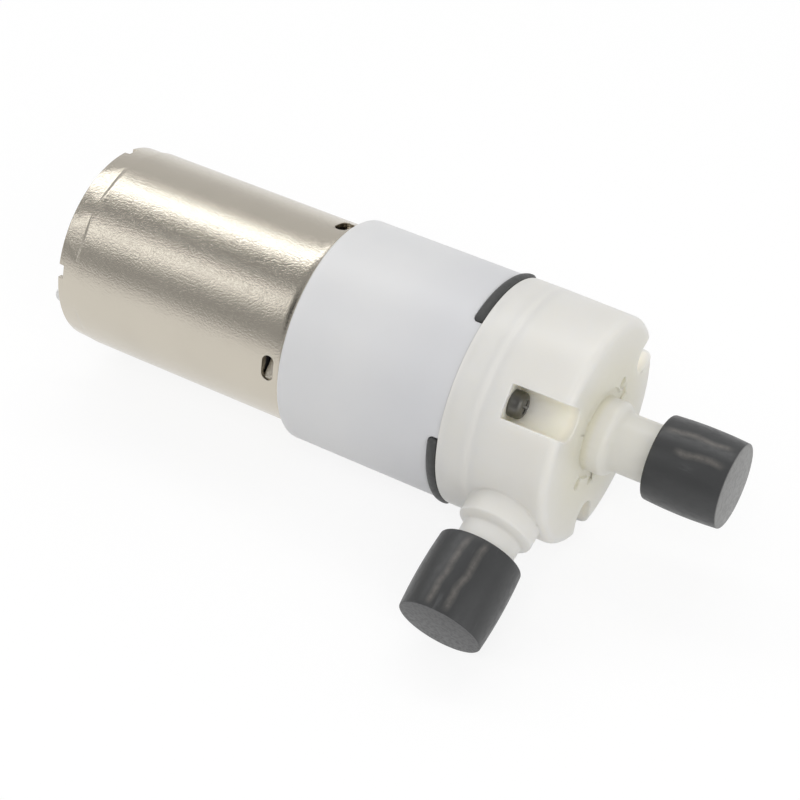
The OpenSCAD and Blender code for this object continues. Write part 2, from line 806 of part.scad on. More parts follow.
module cover_blank() {
  rotate_extrude()
    difference() {
      union() {
        polygon([[0, 0], [head_d / 2 - seam_chamfer, 0], [head_d / 2, seam_chamfer],
                 [front_d / 2, cover_t - front_round], [0, cover_t - front_round]]);
        translate([0, cover_t - front_round]) square([front_d / 2 - front_round, front_round]);
        translate([front_d / 2 - front_round, cover_t - front_round]) circle(front_round);
      }
      // shallow moat round the foot of the outlet nozzle
      translate([collar_d / 2 - moat_w, cover_t - moat_h]) square([2 * moat_w, 1]);
    }
}

// open slot with a round inner end at the screw and rounded edges at the front
module screw_slot() {
  top = cover_t;
  union() {
    translate([0, 0, slot_floor]) cylinder(r = slot_w / 2, h = cover_t);
    translate([0, -slot_w / 2, slot_floor]) cube([slot_w * 2, slot_w, cover_t]);
    translate([0, 0, top - slot_round])
      rotate_extrude()
        difference() {
          square([slot_w / 2 + slot_round, slot_round + 1]);
          translate([slot_w / 2 + slot_round, 0]) circle(slot_round);
        }
    rotate([90, 0, 90])
      linear_extrude(slot_w * 2)
        difference() {
          translate([-slot_w / 2 - slot_round, top - slot_round])
            square([slot_w + 2 * slot_round, slot_round + 1]);
          translate([-slot_w / 2 - slot_round, top - slot_round]) circle(slot_round);
          translate([slot_w / 2 + slot_round, top - slot_round]) circle(slot_round);
        }
  }
}

module pump_cover() {
  color("ivory")
    laid()
      difference() {
        union() {
          translate([0, 0, z_cover]) cover_blank();
          translate([0, 0, z_front]) nozzle(outlet_seat, outlet_tip_l, 1);
          translate([0, 0, z_inlet])
            rotate([0, 90, 0])
              translate([0, 0, front_d / 2])
                nozzle(inlet_seat, inlet_tip_l, 3);
        }
        at_screws() translate([0, 0, z_cover]) screw_slot();
        at_screws()
          translate([0, 0, z_cover - 1])
            cylinder(r = screw_d / 2 + 0.1, h = slot_floor + 2, $fn = 48);
        // rooms for the outlet valve and the inlet gallery
        translate([0, 0, z_cover - eps]) cylinder(r = outlet_room_d / 2, h = room_h);
        difference() {
          translate([0, 0, z_cover - eps]) cylinder(r = gallery_out, h = room_h + nozzle_bore / 2 - 0.7);
          translate([0, 0, z_cover - 1]) cylinder(r = gallery_in, h = room_h + nozzle_bore + 1);
        }
        translate([0, 0, z_cover]) cylinder(r = nozzle_bore / 2, h = cover_t * 3);
        translate([0, 0, z_inlet])
          rotate([0, 90, 0])
            translate([0, 0, gallery_in + ring_wall])
              cylinder(r = nozzle_bore / 2, h = inlet_mouth + inlet_cap_l);
        // moulded core holes beside the outlet nozzle, and a shallow cut towards each screw
        around(2, core_hole_turn)
          translate([core_hole_r, 0, z_front - core_hole_h])
            cylinder(r = core_hole_d / 2, h = 2, $fn = 32);
        around(chambers, step / 2 - inlet_turn)
          translate([collar_d / 2 + moat_w / 2, -cut_w / 2, z_front - moat_h])
            cube([moat_w / 2 + 1.1, cut_w, 2]);
      }
}

module cover_screws() {
  color("darkslategray")
    laid()
      at_screws()
        translate([0, 0, z_cover + slot_floor])
          difference() {
            union() {
              cylinder(r = screw_head_d / 2, h = screw_head_h - 0.3);
              translate([0, 0, screw_head_h - 0.3])
                cylinder(r1 = screw_head_d / 2, r2 = screw_head_d / 2 - 0.3, h = 0.3);
              translate([0, 0, -screw_l + 0.8]) cylinder(r = screw_d / 2, h = screw_l - 0.8 + eps);
              translate([0, 0, -screw_l]) cylinder(r1 = 0.3, r2 = screw_d / 2, h = 0.8);
            }
            translate([0, 0, screw_head_h]) cube([screw_head_d * 0.6, 0.5, 1.6], center = true);
            translate([0, 0, screw_head_h]) cube([0.5, screw_head_d * 0.6, 1.6], center = true);
          }
}

// barrel outline with both edges rounded and the mouth at z = 0
module cap_outline(cap_l) {
  belly = (cap_d - cap_end_d) / 2;
  arc = (cap_l * cap_l / 4 + belly * belly) / (2 * belly);
  union() {
    intersection() {
      translate([0, cap_round]) square([cap_d, cap_l - 2 * cap_round]);
      translate([cap_d / 2 - arc, cap_l / 2]) circle(arc, $fn = 360);
    }
    square([cap_end_d / 2 - cap_round, cap_l]);
    translate([cap_end_d / 2 - cap_round, cap_round]) circle(cap_round, $fn = 32);
    translate([cap_end_d / 2 - cap_round, cap_l - cap_round]) circle(cap_round, $fn = 32);
  }
}

module cap(cap_l, tip_l) {
  difference() {
    rotate_extrude() cap_outline(cap_l);
    translate([0, 0, -eps])
      cylinder(r1 = nozzle_r + run_gap, r2 = tip_d / 2 + run_gap, h = tip_l + eps);
    translate([0, 0, tip_l - eps]) cylinder(r = tip_d / 2 - 0.3, h = tip_gap);
    translate([0, 0, -eps]) cylinder(r1 = nozzle_r + 0.4, r2 = nozzle_r, h = 0.4);
  }
}

module outlet_cap() {
  color("dimgray")
    laid()
      translate([0, 0, outlet_mouth])
        cap(outlet_cap_l, outlet_tip_l);
}

module inlet_cap() {
  color("dimgray")
    laid()
      translate([0, 0, z_inlet])
        rotate([0, 90, 0])
          translate([0, 0, inlet_mouth])
            cap(inlet_cap_l, inlet_tip_l);
}

motor_can();
end_bell();
terminals();
brush_arms();
brushes();
magnets();
front_bearing();
rear_bearing();
motor_screws();
motor_shaft();
rotor_core();
windings();
commutator();
shaft_spacers();
eccentric();
crank_pin();
wobble_plate();
plungers();
pump_housing();
diaphragm();
valve_plate();
inlet_valves();
outlet_valve();
pump_cover();
cover_screws();
outlet_cap();
inlet_cap();
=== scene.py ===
"""Dresses the mini water pump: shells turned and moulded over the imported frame, finishes and a stage."""
import json
import math

import bpy
from mathutils import Matrix, Vector


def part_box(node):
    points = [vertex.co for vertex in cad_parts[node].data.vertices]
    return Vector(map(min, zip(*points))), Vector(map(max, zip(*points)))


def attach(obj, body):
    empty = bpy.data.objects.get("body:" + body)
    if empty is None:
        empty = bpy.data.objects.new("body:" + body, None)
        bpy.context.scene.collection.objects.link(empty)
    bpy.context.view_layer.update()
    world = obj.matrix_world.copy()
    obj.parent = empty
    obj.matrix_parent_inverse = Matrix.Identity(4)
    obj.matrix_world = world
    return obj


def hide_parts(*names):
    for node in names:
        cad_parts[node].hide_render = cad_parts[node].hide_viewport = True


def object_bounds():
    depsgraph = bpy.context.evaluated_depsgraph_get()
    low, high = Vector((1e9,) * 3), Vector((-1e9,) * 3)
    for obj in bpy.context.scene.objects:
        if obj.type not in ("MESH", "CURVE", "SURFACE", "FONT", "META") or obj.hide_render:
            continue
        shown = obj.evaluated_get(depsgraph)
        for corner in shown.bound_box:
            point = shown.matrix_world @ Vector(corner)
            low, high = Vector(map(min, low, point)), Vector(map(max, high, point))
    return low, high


bl_info = {
    "name": "Mini water pump",
    "version": (1, 0, 0),
    "blender": (4, 5, 0),
    "location": "View3D > Sidebar > Pump",
    "description": "Builds the visible shells of a small diaphragm water pump and a plain studio round it",
    "category": "Object",
}

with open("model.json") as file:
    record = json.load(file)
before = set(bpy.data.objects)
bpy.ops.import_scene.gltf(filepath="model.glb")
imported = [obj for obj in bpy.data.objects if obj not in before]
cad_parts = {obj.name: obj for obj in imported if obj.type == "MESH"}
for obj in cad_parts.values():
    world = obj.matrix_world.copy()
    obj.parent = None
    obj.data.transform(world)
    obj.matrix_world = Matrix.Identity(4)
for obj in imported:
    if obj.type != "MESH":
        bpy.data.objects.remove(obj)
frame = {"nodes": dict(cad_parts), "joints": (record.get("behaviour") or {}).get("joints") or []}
CAD_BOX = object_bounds()
MM = 0.001


def node_size(node, axis):
    """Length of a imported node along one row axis, in metres."""
    low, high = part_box(node)
    return high[axis] - low[axis]


# places on the pump axis, in metres in the row frame
AXIS_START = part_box("motor_can")[0][0]
HOUSING_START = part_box("pump_housing")[0][0]
PLATE_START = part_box("valve_plate")[0][0]
COVER_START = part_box("pump_cover")[0][0]
OUTLET_MOUTH, OUTLET_END = (corner[0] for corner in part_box("outlet_cap"))
SHEET = 0.0012

# where the upright drawing of a piece goes: z along the pump axis from the rear rim, x towards the inlet
INLET_WAY = Vector(next(j for j in frame["joints"] if j["name"] == "inlet_cap_pull")["axis"])
LEAN = math.atan2(-INLET_WAY.z, -INLET_WAY.y)
UPRIGHT_TO_ROW = Matrix(
    (
        (0, 0, MM, AXIS_START),
        (-math.cos(LEAN) * MM, math.sin(LEAN) * MM, 0, 0),
        (-math.sin(LEAN) * MM, -math.cos(LEAN) * MM, 0, 0),
        (0, 0, 0, 1),
    )
)

# what repeats round the pump axis, in degrees
CHAMBERS = (-3.3, 116.7, 236.7)
SCREWS = (56.7, 176.7, 296.7)
LUGS = (8.0, 188.0)
NOTCHES = (53.0, 143.0, 233.0, 323.0)
STOPS = (-30.0, 150.0, -133.0, 47.0)
JAWS_FROM_NOTCH = (22.8, 57.5)

# sizes that pieces share, in millimetres
CHAMBER_CIRCLE = 6.6
CHAMBER_R = 4.2
MOTOR_SCREW_CIRCLE = 8.0
MOTOR_SCREW_HOLE = 1.25
LUG_CIRCLE = 8.6
BEARING_R = 2.35
SHAFT_HOLE = 1.4
LAND_R = 9.15
CAP_ROOM = 1.9


def size(description, default):
    return bpy.props.FloatProperty(description=description, default=default, min=0.0, unit="LENGTH")


class PumpSizes(bpy.types.PropertyGroup):
    can_diameter: size("Across the motor can", node_size("motor_can", 1))
    can_length: size("From rear rim to front face", HOUSING_START - AXIS_START)
    can_wall: size("Sheet of the can", 0.0009)
    can_round: size("Rounding at the can's front", 0.0014)
    band_length: size("Length of the crimped band", 0.0027)
    jaw_depth: size("How deep each jaw pressed the band", 0.0002)
    stop_back: size("From the can's front face to the magnet stops", 0.00205)
    stop_width: size("Magnet stop round the can", 0.0032)
    stop_height: size("Magnet stop along the can", 0.0015)
    boss_diameter: size("Bearing boss at the front", 0.00615)
    housing_diameter: size("Across the housing", node_size("pump_housing", 1))
    housing_length: size("From the motor to the diaphragm", PLATE_START - SHEET - HOUSING_START)
    lobe_reach: size("How far the rubber lobes stand out", 0.00035)
    sheet: size("Thickness of the rubber", SHEET)
    head_diameter: size("Head at the diaphragm", node_size("valve_plate", 1))
    front_diameter: size("Head at its front", 0.0268)
    plate: size("Thickness of the valve plate", COVER_START - PLATE_START)
    cover: size("Height of the cover", 0.0096)
    inlet_height: size("From the valve plate to the inlet's axis", 0.0045)
    slot_width: size("Width of the open screw slots", 0.0039)
    slot_floor: size("Screw seats over the valve plate", 0.0026)
    screw_circle: size("Cover screws from the axis", 0.0112)
    screw_head: size("Across a cover screw's head", 0.0031)
    screw_head_height: size("Height of a cover screw's head", 0.0016)
    nozzle_diameter: size("Nozzle where a hose seats", 0.00684)
    tip_diameter: size("Nozzle at its end", 0.0065)
    collar_diameter: size("Collar at a nozzle's foot", 0.0087)
    collar_height: size("Straight part of the collar", 0.002)
    collar_chamfer: size("Conical end of the collar", 0.00065)
    cap_diameter: size("Nozzle cap at its widest", node_size("outlet_cap", 1))
    cap_end: size("Nozzle cap at its two ends", 0.0098)
    outlet_cap: size("Cap on the outlet", OUTLET_END - OUTLET_MOUTH)
    inlet_cap: size("Cap on the inlet", 0.0095)
    inlet_seat: size("Inlet nozzle between collar and cap", 0.0025)
    edge_round: size("Rounding of the moulded edges", 0.0001)


def tint(description, default):
    return bpy.props.FloatVectorProperty(
        description=description, subtype="COLOR", size=3, min=0.0, max=1.0, default=default
    )


class PumpColours(bpy.types.PropertyGroup):
    can: tint("Satin nickel of the can", (0.60, 0.555, 0.475))
    housing: tint("Milky bluish plastic", (0.755, 0.755, 0.757))
    head: tint("Ivory plastic of the head", (0.785, 0.772, 0.735))
    diaphragm: tint("Black rubber of the diaphragm", (0.055, 0.056, 0.055))
    caps: tint("Charcoal rubber of the nozzle caps", (0.040, 0.041, 0.042))
    screws: tint("Black oxide of the cover screws", (0.155, 0.152, 0.14))
    end_bell: tint("White nylon of the end bell", (0.80, 0.785, 0.73))
    terminals: tint("Tin plate of the terminals", (0.90, 0.895, 0.88))
    floor: tint("Pale floor", (0.80, 0.80, 0.80))


class Drawing:
    """Every size in millimetres."""

    def __init__(self):
        for key in PumpSizes.__annotations__:
            setattr(self, key, getattr(bpy.context.scene.pump_sizes, key) / MM)


def levels(s):
    """Heights along the pump axis: diaphragm, valve plate, cover, front face and inlet nozzle."""
    sheet = s.can_length + s.housing_length
    plate = sheet + s.sheet
    cover = plate + s.plate
    return sheet, plate, cover, cover + s.cover, cover + s.inlet_height


# shaping tools, all in millimetres in the upright drawing


def only(obj):
    """Leaves edit mode, selects one object and makes it active."""
    if bpy.context.object and bpy.context.object.mode != "OBJECT":
        bpy.ops.object.mode_set(mode="OBJECT")
    bpy.ops.object.select_all(action="DESELECT")
    if obj is not None:
        obj.select_set(True)
        bpy.context.view_layer.objects.active = obj


def edit(obj):
    """Opens one object in edit mode with all of it selected."""
    only(obj)
    bpy.ops.object.mode_set(mode="EDIT")
    bpy.ops.mesh.select_all(action="SELECT")


def shift(x, y, z):
    return Matrix.Translation((x, y, z))


def turned(degrees, axis="Z"):
    return Matrix.Rotation(math.radians(degrees), 4, axis)


def move(obj, matrix):
    """Moves an object and applies the move."""
    only(obj)
    obj.matrix_world = matrix @ obj.matrix_world
    bpy.ops.object.transform_apply()
    return obj


def lay_inlet(obj, height):
    """Lays an upright turned shape along the inlet nozzle."""
    return move(obj, shift(0, 0, height) @ turned(90, "Y"))


def soften(corners, steps):
    """Outline through corners (r, z) or (r, z, rounding), each rounding turned into an arc."""
    points = []
    for i, corner in enumerate(corners):
        if len(corner) == 2:
            points.append(corner)
            continue
        here = Vector(corner[:2])
        before = (Vector(corners[i - 1][:2]) - here).normalized()
        after = (Vector(corners[(i + 1) % len(corners)][:2]) - here).normalized()
        half = before.angle(after) / 2
        reach = corner[2] / math.tan(half)
        centre = here + (before + after).normalized() * (corner[2] / math.sin(half))
        first = here + before * reach - centre
        turn = first.angle_signed(here + after * reach - centre)
        for k in range(steps + 1):
            a = -turn * k / steps
            c, s = math.cos(a), math.sin(a)
            points.append((centre.x + first.x * c - first.y * s, centre.y + first.x * s + first.y * c))
    return points


def lathe(*corners, steps=160, angle=360.0, arc=4):
    """Spins an outline round the pump axis: one that starts on the axis is open there, others are closed."""
    outline = soften(corners, arc)
    only(None)
    bpy.ops.mesh.primitive_plane_add(size=1)
    obj = bpy.context.object
    edit(obj)
    bpy.ops.mesh.merge(type="CENTER")
    bpy.ops.transform.translate(value=(outline[0][0], 0, outline[0][1]))
    path = outline + ([outline[0]] if outline[0][0] > 0 else [])
    for (r1, z1), (r2, z2) in zip(path, path[1:]):
        bpy.ops.mesh.extrude_region_move(TRANSFORM_OT_translate={"value": (r2 - r1, 0, z2 - z1)})
    bpy.ops.mesh.select_all(action="SELECT")
    bpy.ops.mesh.remove_doubles(threshold=0.001)
    if angle < 360:
        bpy.ops.mesh.edge_face_add()
    bpy.ops.mesh.spin(steps=steps, angle=-math.radians(angle), axis=(0, 0, 1))
    bpy.ops.mesh.select_all(action="SELECT")
    bpy.ops.mesh.remove_doubles(threshold=0.0005)
    bpy.ops.mesh.normals_make_consistent()
    only(obj)
    return obj


def sector(inner, outer, low, high, half):
    """A block of a ring that reaches half degrees to each side of x."""
    block = lathe((inner, low), (outer, low), (outer, high), (inner, high), steps=24, angle=2 * half)
    return move(block, turned(-half))


def pin(radius, low, high, x=0.0, y=0.0, top=None, sides=64):
    """A round bar or cone along the pump axis, from low to high."""
    only(None)
    bpy.ops.mesh.primitive_cone_add(
        vertices=sides,
        radius1=radius,
        radius2=radius if top is None else top,
        depth=high - low,
        location=(x, y, (low + high) / 2),
    )
    only(bpy.context.object)
    bpy.ops.object.transform_apply()
    return bpy.context.object


def bar(low, high):
    """A block between two corners."""
    only(None)
    bpy.ops.mesh.primitive_cube_add(size=1)
    obj = bpy.context.object
    obj.scale = [b - a for a, b in zip(low, high)]
    obj.location = [(a + b) / 2 for a, b in zip(low, high)]
    bpy.ops.object.transform_apply()
    return obj


def stadium(length, width, low, high, sides=48):
    """A flat bar with round ends, long in y."""
    obj = pin(width / 2, low, high, sides=sides)
    for side in (1, -1):
        only(obj)
        for part in (obj.data.vertices, obj.data.edges, obj.data.polygons):
            part.foreach_set("select", [False] * len(part))
        for v in obj.data.vertices:
            v.select = v.co.y * side > 1e-4
        bpy.ops.object.mode_set(mode="EDIT")
        bpy.ops.mesh.select_mode(type="VERT")
        bpy.ops.transform.translate(value=(0, side * (length - width) / 2, 0))
        bpy.ops.object.mode_set(mode="OBJECT")
    return obj


def join(parts):
    only(parts[0])
    for p in parts:
        p.select_set(True)
    bpy.ops.object.join()
    return parts[0]


def twin(obj):
    """A copy of an object with its own mesh."""
    other = obj.copy()
    other.data = obj.data.copy()
    bpy.context.collection.objects.link(other)
    return other


def copies(obj, angles):
    """One object with a copy of obj at each angle round the pump axis."""
    made = [move(twin(obj), turned(a)) for a in angles]
    bpy.data.objects.remove(obj)
    return join(made)


def modify(obj, kind, **settings):
    """Adds a modifier with its settings and applies it."""
    only(obj)
    m = obj.modifiers.new(kind, kind)
    for key, value in settings.items():
        setattr(m, key, value)
    bpy.ops.object.modifier_apply(modifier=m.name)


def shape(obj, tool, angles=None, how="DIFFERENCE"):
    """Cuts with, or joins on, another solid, at each angle round the axis where angles are given."""
    if angles is not None:
        tool = copies(tool, angles)
    modify(obj, "BOOLEAN", operation=how, solver="EXACT", object=tool)
    bpy.data.objects.remove(tool)


def smooth_edges(obj, width, segments=2, weld=None, limit=40):
    """Rounds the sharp edges that cutting left."""
    if weld:
        edit(obj)
        bpy.ops.mesh.remove_doubles(threshold=weld)
        bpy.ops.mesh.dissolve_degenerate(threshold=0.002)
    modify(
        obj, "BEVEL", width=width, segments=segments, limit_method="ANGLE", angle_limit=math.radians(limit),
        use_clamp_overlap=False, miter_outer="MITER_ARC",
    )
    return obj


def paint(obj, material):
    obj.data.materials.clear()
    obj.data.materials.append(material)


def put_in_place(obj, node, body, material, crease=35):
    """Moves a finished piece from the upright drawing to the row frame and ties it to its body."""
    move(obj, UPRIGHT_TO_ROW)
    bpy.ops.object.shade_smooth_by_angle(angle=math.radians(crease))
    paint(obj, material)
    obj.name = node + "_shell"
    obj.data.name = obj.name
    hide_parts(node)
    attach(obj, body)


# finishes: lengths in metres, densities per metre

MADE = {}


def once(maker):
    """What a maker makes, made at its first use and shared after that."""
    if maker not in MADE:
        MADE[maker] = maker()
    return MADE[maker]


def feed(socket, value):
    """Gives a socket its value, or a link from the socket that makes it."""
    if isinstance(value, bpy.types.NodeSocket):
        socket.id_data.links.new(value, socket)
    else:
        socket.default_value = value


def add(tree, kind, **settings):
    """A shader node with its settings; one that starts with 'in_' is what a socket is fed with."""
    n = tree.nodes.new("ShaderNode" + kind)
    for key, value in settings.items():
        if key.startswith("in_"):
            feed(n.inputs[key[3:].replace("_", " ")], value)
        else:
            setattr(n, key, value)
    return n


def maths(tree, operation, *values, kind="Math", **settings):
    """A calculation on numbers, or on vectors with the vector kind of node."""
    n = add(tree, kind, operation=operation, **settings)
    for socket, value in zip(n.inputs, values):
        feed(socket, value)
    return n.outputs[0]


def product(tree, first, *others):
    for value in others:
        first = maths(tree, "MULTIPLY", first, value)
    return first


def total(tree, first, *others):
    for value in others:
        first = maths(tree, "ADD", first, value)
    return first


def ramp(tree, value, low, high, out_low=0.0, out_high=1.0):
    """A soft step from out_low to out_high as the value goes from low to high."""
    n = add(
        tree, "MapRange", interpolation_type="SMOOTHSTEP", in_Value=value,
        in_From_Min=low, in_From_Max=high, in_To_Min=out_low, in_To_Max=out_high,
    )
    return n.outputs["Result"]


def blend(tree, factor, a, b):
    """Colour a, turning into b with the factor."""
    return add(tree, "Mix", data_type="RGBA", in_Factor=factor, in_A=a, in_B=b).outputs["Result"]


def noise(tree, place, scale, detail=1.0, rough=0.5):
    n = add(tree, "TexNoise", in_Vector=place, in_Scale=scale, in_Detail=detail, in_Roughness=rough)
    return n.outputs["Fac"]


def split(tree, vector):
    """The x, y and z of a vector."""
    return add(tree, "SeparateXYZ", in_Vector=vector).outputs


def new_group(name, inputs, outputs):
    """A node group that works on coordinates, and its inner sockets. All are numbers but for colours."""
    tree = bpy.data.node_groups.new(name, "ShaderNodeTree")
    tree.interface.new_socket(name="Coordinates", in_out="INPUT", socket_type="NodeSocketVector")
    for way, labels in (("INPUT", inputs), ("OUTPUT", outputs)):
        for label in labels:
            kind = "NodeSocketColor" if label.lower().endswith("colour") else "NodeSocketFloat"
            tree.interface.new_socket(name=label, in_out=way, socket_type=kind)
    return tree, tree.nodes.new("NodeGroupInput").outputs, tree.nodes.new("NodeGroupOutput").inputs


def stretched(g, given):
    """A group's coordinates, with what is drawn on them stretched along the piece's x."""
    squeeze = add(g, "CombineXYZ", in_X=given["Stretch"], in_Y=1.0, in_Z=1.0)
    return maths(g, "DIVIDE", given["Coordinates"], squeeze.outputs[0], kind="VectorMath")


def grain_group():
    """Fine grain: a height for a bump and a mask, stretched along the piece's x."""
    g, given, out = new_group("fine grain", ("Grains per metre", "Stretch"), ("Height", "Mask"))
    place, density = stretched(g, given), given["Grains per metre"]
    coarse = noise(g, place, density, detail=2.0, rough=0.55)
    fine = noise(g, place, product(g, density, 2.7))
    feed(out["Height"], total(g, coarse, product(g, fine, 0.5)))
    feed(out["Mask"], ramp(g, coarse, 0.42, 0.62))
    return g


def cloud_group():
    """Broad soft patches of a second colour."""
    inputs = ("Patches per metre", "Colour", "Patch colour", "Amount")
    g, given, out = new_group("soft patches", inputs, ("Colour",))
    cloud = noise(g, given["Coordinates"], given["Patches per metre"], detail=3.0)
    part = product(g, ramp(g, cloud, 0.38, 0.66), given["Amount"])
    feed(out["Colour"], blend(g, part, given["Colour"], given["Patch colour"]))
    return g


def scuff_group():
    """Thin broken rub marks that run along the piece's x, as a mask and a height."""
    g, given, out = new_group("scuffs", ("Marks per metre", "Stretch", "Cover"), ("Mask", "Height"))
    density = given["Marks per metre"]
    marks = noise(g, stretched(g, given), density, detail=4.0, rough=0.62)
    spots = noise(g, given["Coordinates"], product(g, density, 0.3))
    edge = maths(g, "SUBTRACT", 0.72, product(g, given["Cover"], 0.4))
    mask = product(g, ramp(g, marks, edge, total(g, edge, 0.09)), ramp(g, spots, 0.42, 0.6))
    feed(out["Mask"], mask)
    feed(out["Height"], product(g, mask, -1.0))
    return g


def axis_group():
    """Masks by distance from the pump axis, for painted shade on the front face and painted light in the
    screw slots behind it.
    """
    g, given, out = new_group("round the axis", ("Wall", "Collar", "Front"), ("Face shade", "Slot light"))
    xyz = split(g, given["Coordinates"])
    reach = maths(g, "SQRT", total(g, product(g, xyz["Y"], xyz["Y"]), product(g, xyz["Z"], xyz["Z"])))
    from_wall = maths(g, "SUBTRACT", given["Wall"], reach)
    from_collar = maths(g, "SUBTRACT", reach, given["Collar"])
    ahead = maths(g, "SUBTRACT", xyz["X"], given["Front"])
    inside = product(g, ramp(g, from_wall, 0.0007, 0.007, 0.25, 1.0), ramp(g, from_wall, 0.0007, 0.0015))
    feed(out["Face shade"], product(g, inside, ramp(g, ahead, 0.0, 0.0008, 1.0, 0.2)))
    behind = ramp(g, ahead, -0.0012, -0.0001, 1.0, 0.0)
    recess = product(g, ramp(g, from_wall, 0.0001, 0.0005), behind)
    feed(out["Slot light"], product(g, recess, ramp(g, from_collar, 0.0008, 0.002)))
    return g


def highlight_streak_group():
    """One wavering streak of painted highlight along a cap: a mask round the given angle, between two places
    on its axis.
    """
    g, given, out = new_group("painted highlight streak", ("Angle", "Drift", "Width", "Start", "End"), ("Mask",))
    xyz = split(g, given["Coordinates"])
    turn = maths(g, "ARCTAN2", xyz["Z"], xyz["Y"])
    from_start = maths(g, "SUBTRACT", xyz["X"], given["Start"])
    to_end = maths(g, "SUBTRACT", given["End"], xyz["X"])
    course = total(g, xyz["X"], given["Angle"])
    waver = add(g, "TexNoise", noise_dimensions="1D", in_W=course, in_Scale=260.0, in_Detail=1.0)
    swing = product(g, maths(g, "SUBTRACT", waver.outputs["Fac"], 0.5), 0.16)
    middle = total(g, given["Angle"], product(g, from_start, given["Drift"]), swing)
    off = maths(g, "ABSOLUTE", maths(g, "SUBTRACT", turn, middle))
    narrow = maths(g, "SUBTRACT", 1.0, maths(g, "DIVIDE", off, given["Width"]), use_clamp=True)
    patchy = ramp(g, noise(g, given["Coordinates"], 1300.0, detail=3.0, rough=0.6), 0.3, 0.65, 0.5, 1.0)
    fade = 0.0012
    ends = product(g, ramp(g, from_start, 0.0, fade), ramp(g, to_end, 0.0, fade))
    feed(out["Mask"], product(g, narrow, patchy, ends))
    return g


def effect(tree, maker, xyz, **values):
    """Places one of the shared effects in a material, with this material's values."""
    n = add(tree, "Group", node_tree=once(maker), in_Coordinates=xyz)
    for key, value in values.items():
        feed(n.inputs[key.replace("_", " ")], value)
    return n.outputs


def start_material(name, place=Matrix()):
    """A material, its node tree and its coordinates, in a frame where x runs along the piece."""
    mat = bpy.data.materials.new(name)
    mat.use_nodes = True
    tree = mat.node_tree
    xyz = add(
        tree, "Mapping", in_Vector=add(tree, "TexCoord").outputs["Object"],
        in_Location=place.to_translation(), in_Rotation=place.to_euler(),
    )
    return mat, tree, xyz.outputs[0]


def dress(tree, **values):
    """Feeds the material's shader."""
    for key, value in values.items():
        feed(tree.nodes["Principled BSDF"].inputs[key.replace("_", " ")], value)


def rgba(colour, red=1.0, green=1.0, blue=1.0):
    """A colour with each channel times its own factor."""
    return tuple(min(v * factor, 1.0) for v, factor in zip(colour, (red, green, blue))) + (1.0,)


def patches(tree, xyz, density, colour, other, amount):
    """The piece's colour with broad soft patches of another."""
    return effect(
        tree, cloud_group, xyz, Patches_per_metre=density, Colour=rgba(colour), Patch_colour=other,
        Amount=amount,
    )["Colour"]


def surface(tree, xyz, rough, relief, grains, stretch=1.0, swing=0.05, scuff=None, rub=0.08, carved=False):
    """Grain in the relief and the gloss, with scuffs in the gloss and, where carved, in the relief too."""
    grain = effect(tree, grain_group, xyz, Grains_per_metre=grains, Stretch=stretch)
    gloss = total(tree, product(tree, grain["Mask"], swing), rough)
    if scuff:
        gloss = total(tree, gloss, product(tree, scuff["Mask"], rub))
    height = total(tree, grain["Height"], scuff["Height"]) if carved else grain["Height"]
    normal = add(tree, "Bump", in_Strength=1.0, in_Distance=relief, in_Height=height)
    dress(tree, Roughness=gloss, Normal=normal.outputs["Normal"])


def moulding_scuffs(tree, xyz):
    return effect(tree, scuff_group, xyz, Marks_per_metre=700.0, Stretch=5.0, Cover=0.15)


def metal(name, colour, rough=0.25, grains=6000.0, stretch=1.0, relief=4e-6, tarnish=0.15, blots=150.0):
    """Drawn, turned or plated metal: grain in its relief and gloss, and a little tarnish."""
    mat, tree, xyz = start_material(name)
    dark = rgba(colour, 0.88, 0.88, 0.88)
    dress(tree, Metallic=1.0, Base_Color=patches(tree, xyz, blots, colour, dark, tarnish))
    surface(tree, xyz, rough - 0.03, relief, grains, stretch, swing=0.07)
    return mat


def plastic(name, colour, rough=0.38, grains=2500.0, relief=2e-6, milk=0.0):
    """Moulded plastic: satin, faintly uneven, and milky where milk is over 0."""
    mat, tree, xyz = start_material(name)
    dress(tree, Base_Color=patches(tree, xyz, 110.0, colour, rgba(colour, 0.95, 0.95, 0.95), 0.3))
    surface(tree, xyz, rough, relief, grains, scuff=moulding_scuffs(tree, xyz))
    if milk:
        dress(tree, Subsurface_Weight=milk, Subsurface_Radius=(1.0, 5 / 6, 2 / 3), Subsurface_Scale=0.0012)
    return mat


def rubber(name, colour, rough, scuffs, pale, relief, place=Matrix()):
    """Moulded rubber, softly glossy, with pale rub marks along it: material, tree, coordinates and colour."""
    mat, tree, xyz = start_material(name, place)
    scuff = effect(tree, scuff_group, xyz, Marks_per_metre=750.0, Stretch=6.0, Cover=scuffs)
    base = patches(tree, xyz, 260.0, colour, rgba(colour, 1.2, 1.2, 1.2), 0.3)
    rubbed = blend(tree, product(tree, scuff["Mask"], 0.7), base, rgba(colour, pale, pale, pale))
    dress(tree, Base_Color=rubbed)
    surface(tree, xyz, rough, relief, 2200.0, 2.0, swing=0.1, scuff=scuff, rub=0.12, carved=True)
    return mat, tree, xyz, rubbed


def housing_finish(colour):
    """Milky plastic, greyed towards the diaphragm by painted shade."""
    mat, tree, xyz = start_material("housing plastic")
    # painted shade: the colour greys over the last part of the housing, towards the diaphragm
    shade_from, shade_over = AXIS_START + 0.0385, 0.011
    thin = ramp(tree, split(tree, xyz)["X"], shade_from, shade_from + shade_over)
    thick = patches(tree, xyz, 95.0, colour, rgba(colour, 0.955, 0.96, 0.975), 0.45)
    dress(
        tree, Base_Color=blend(tree, product(tree, thin, 0.85), thick, rgba(colour, 0.90, 0.905, 0.925)),
        Subsurface_Weight=0.35, Subsurface_Radius=(0.9, 0.95, 1.0), Subsurface_Scale=0.0014,
    )
    surface(tree, xyz, 0.4, 1.8e-6, 2600.0)
    return mat


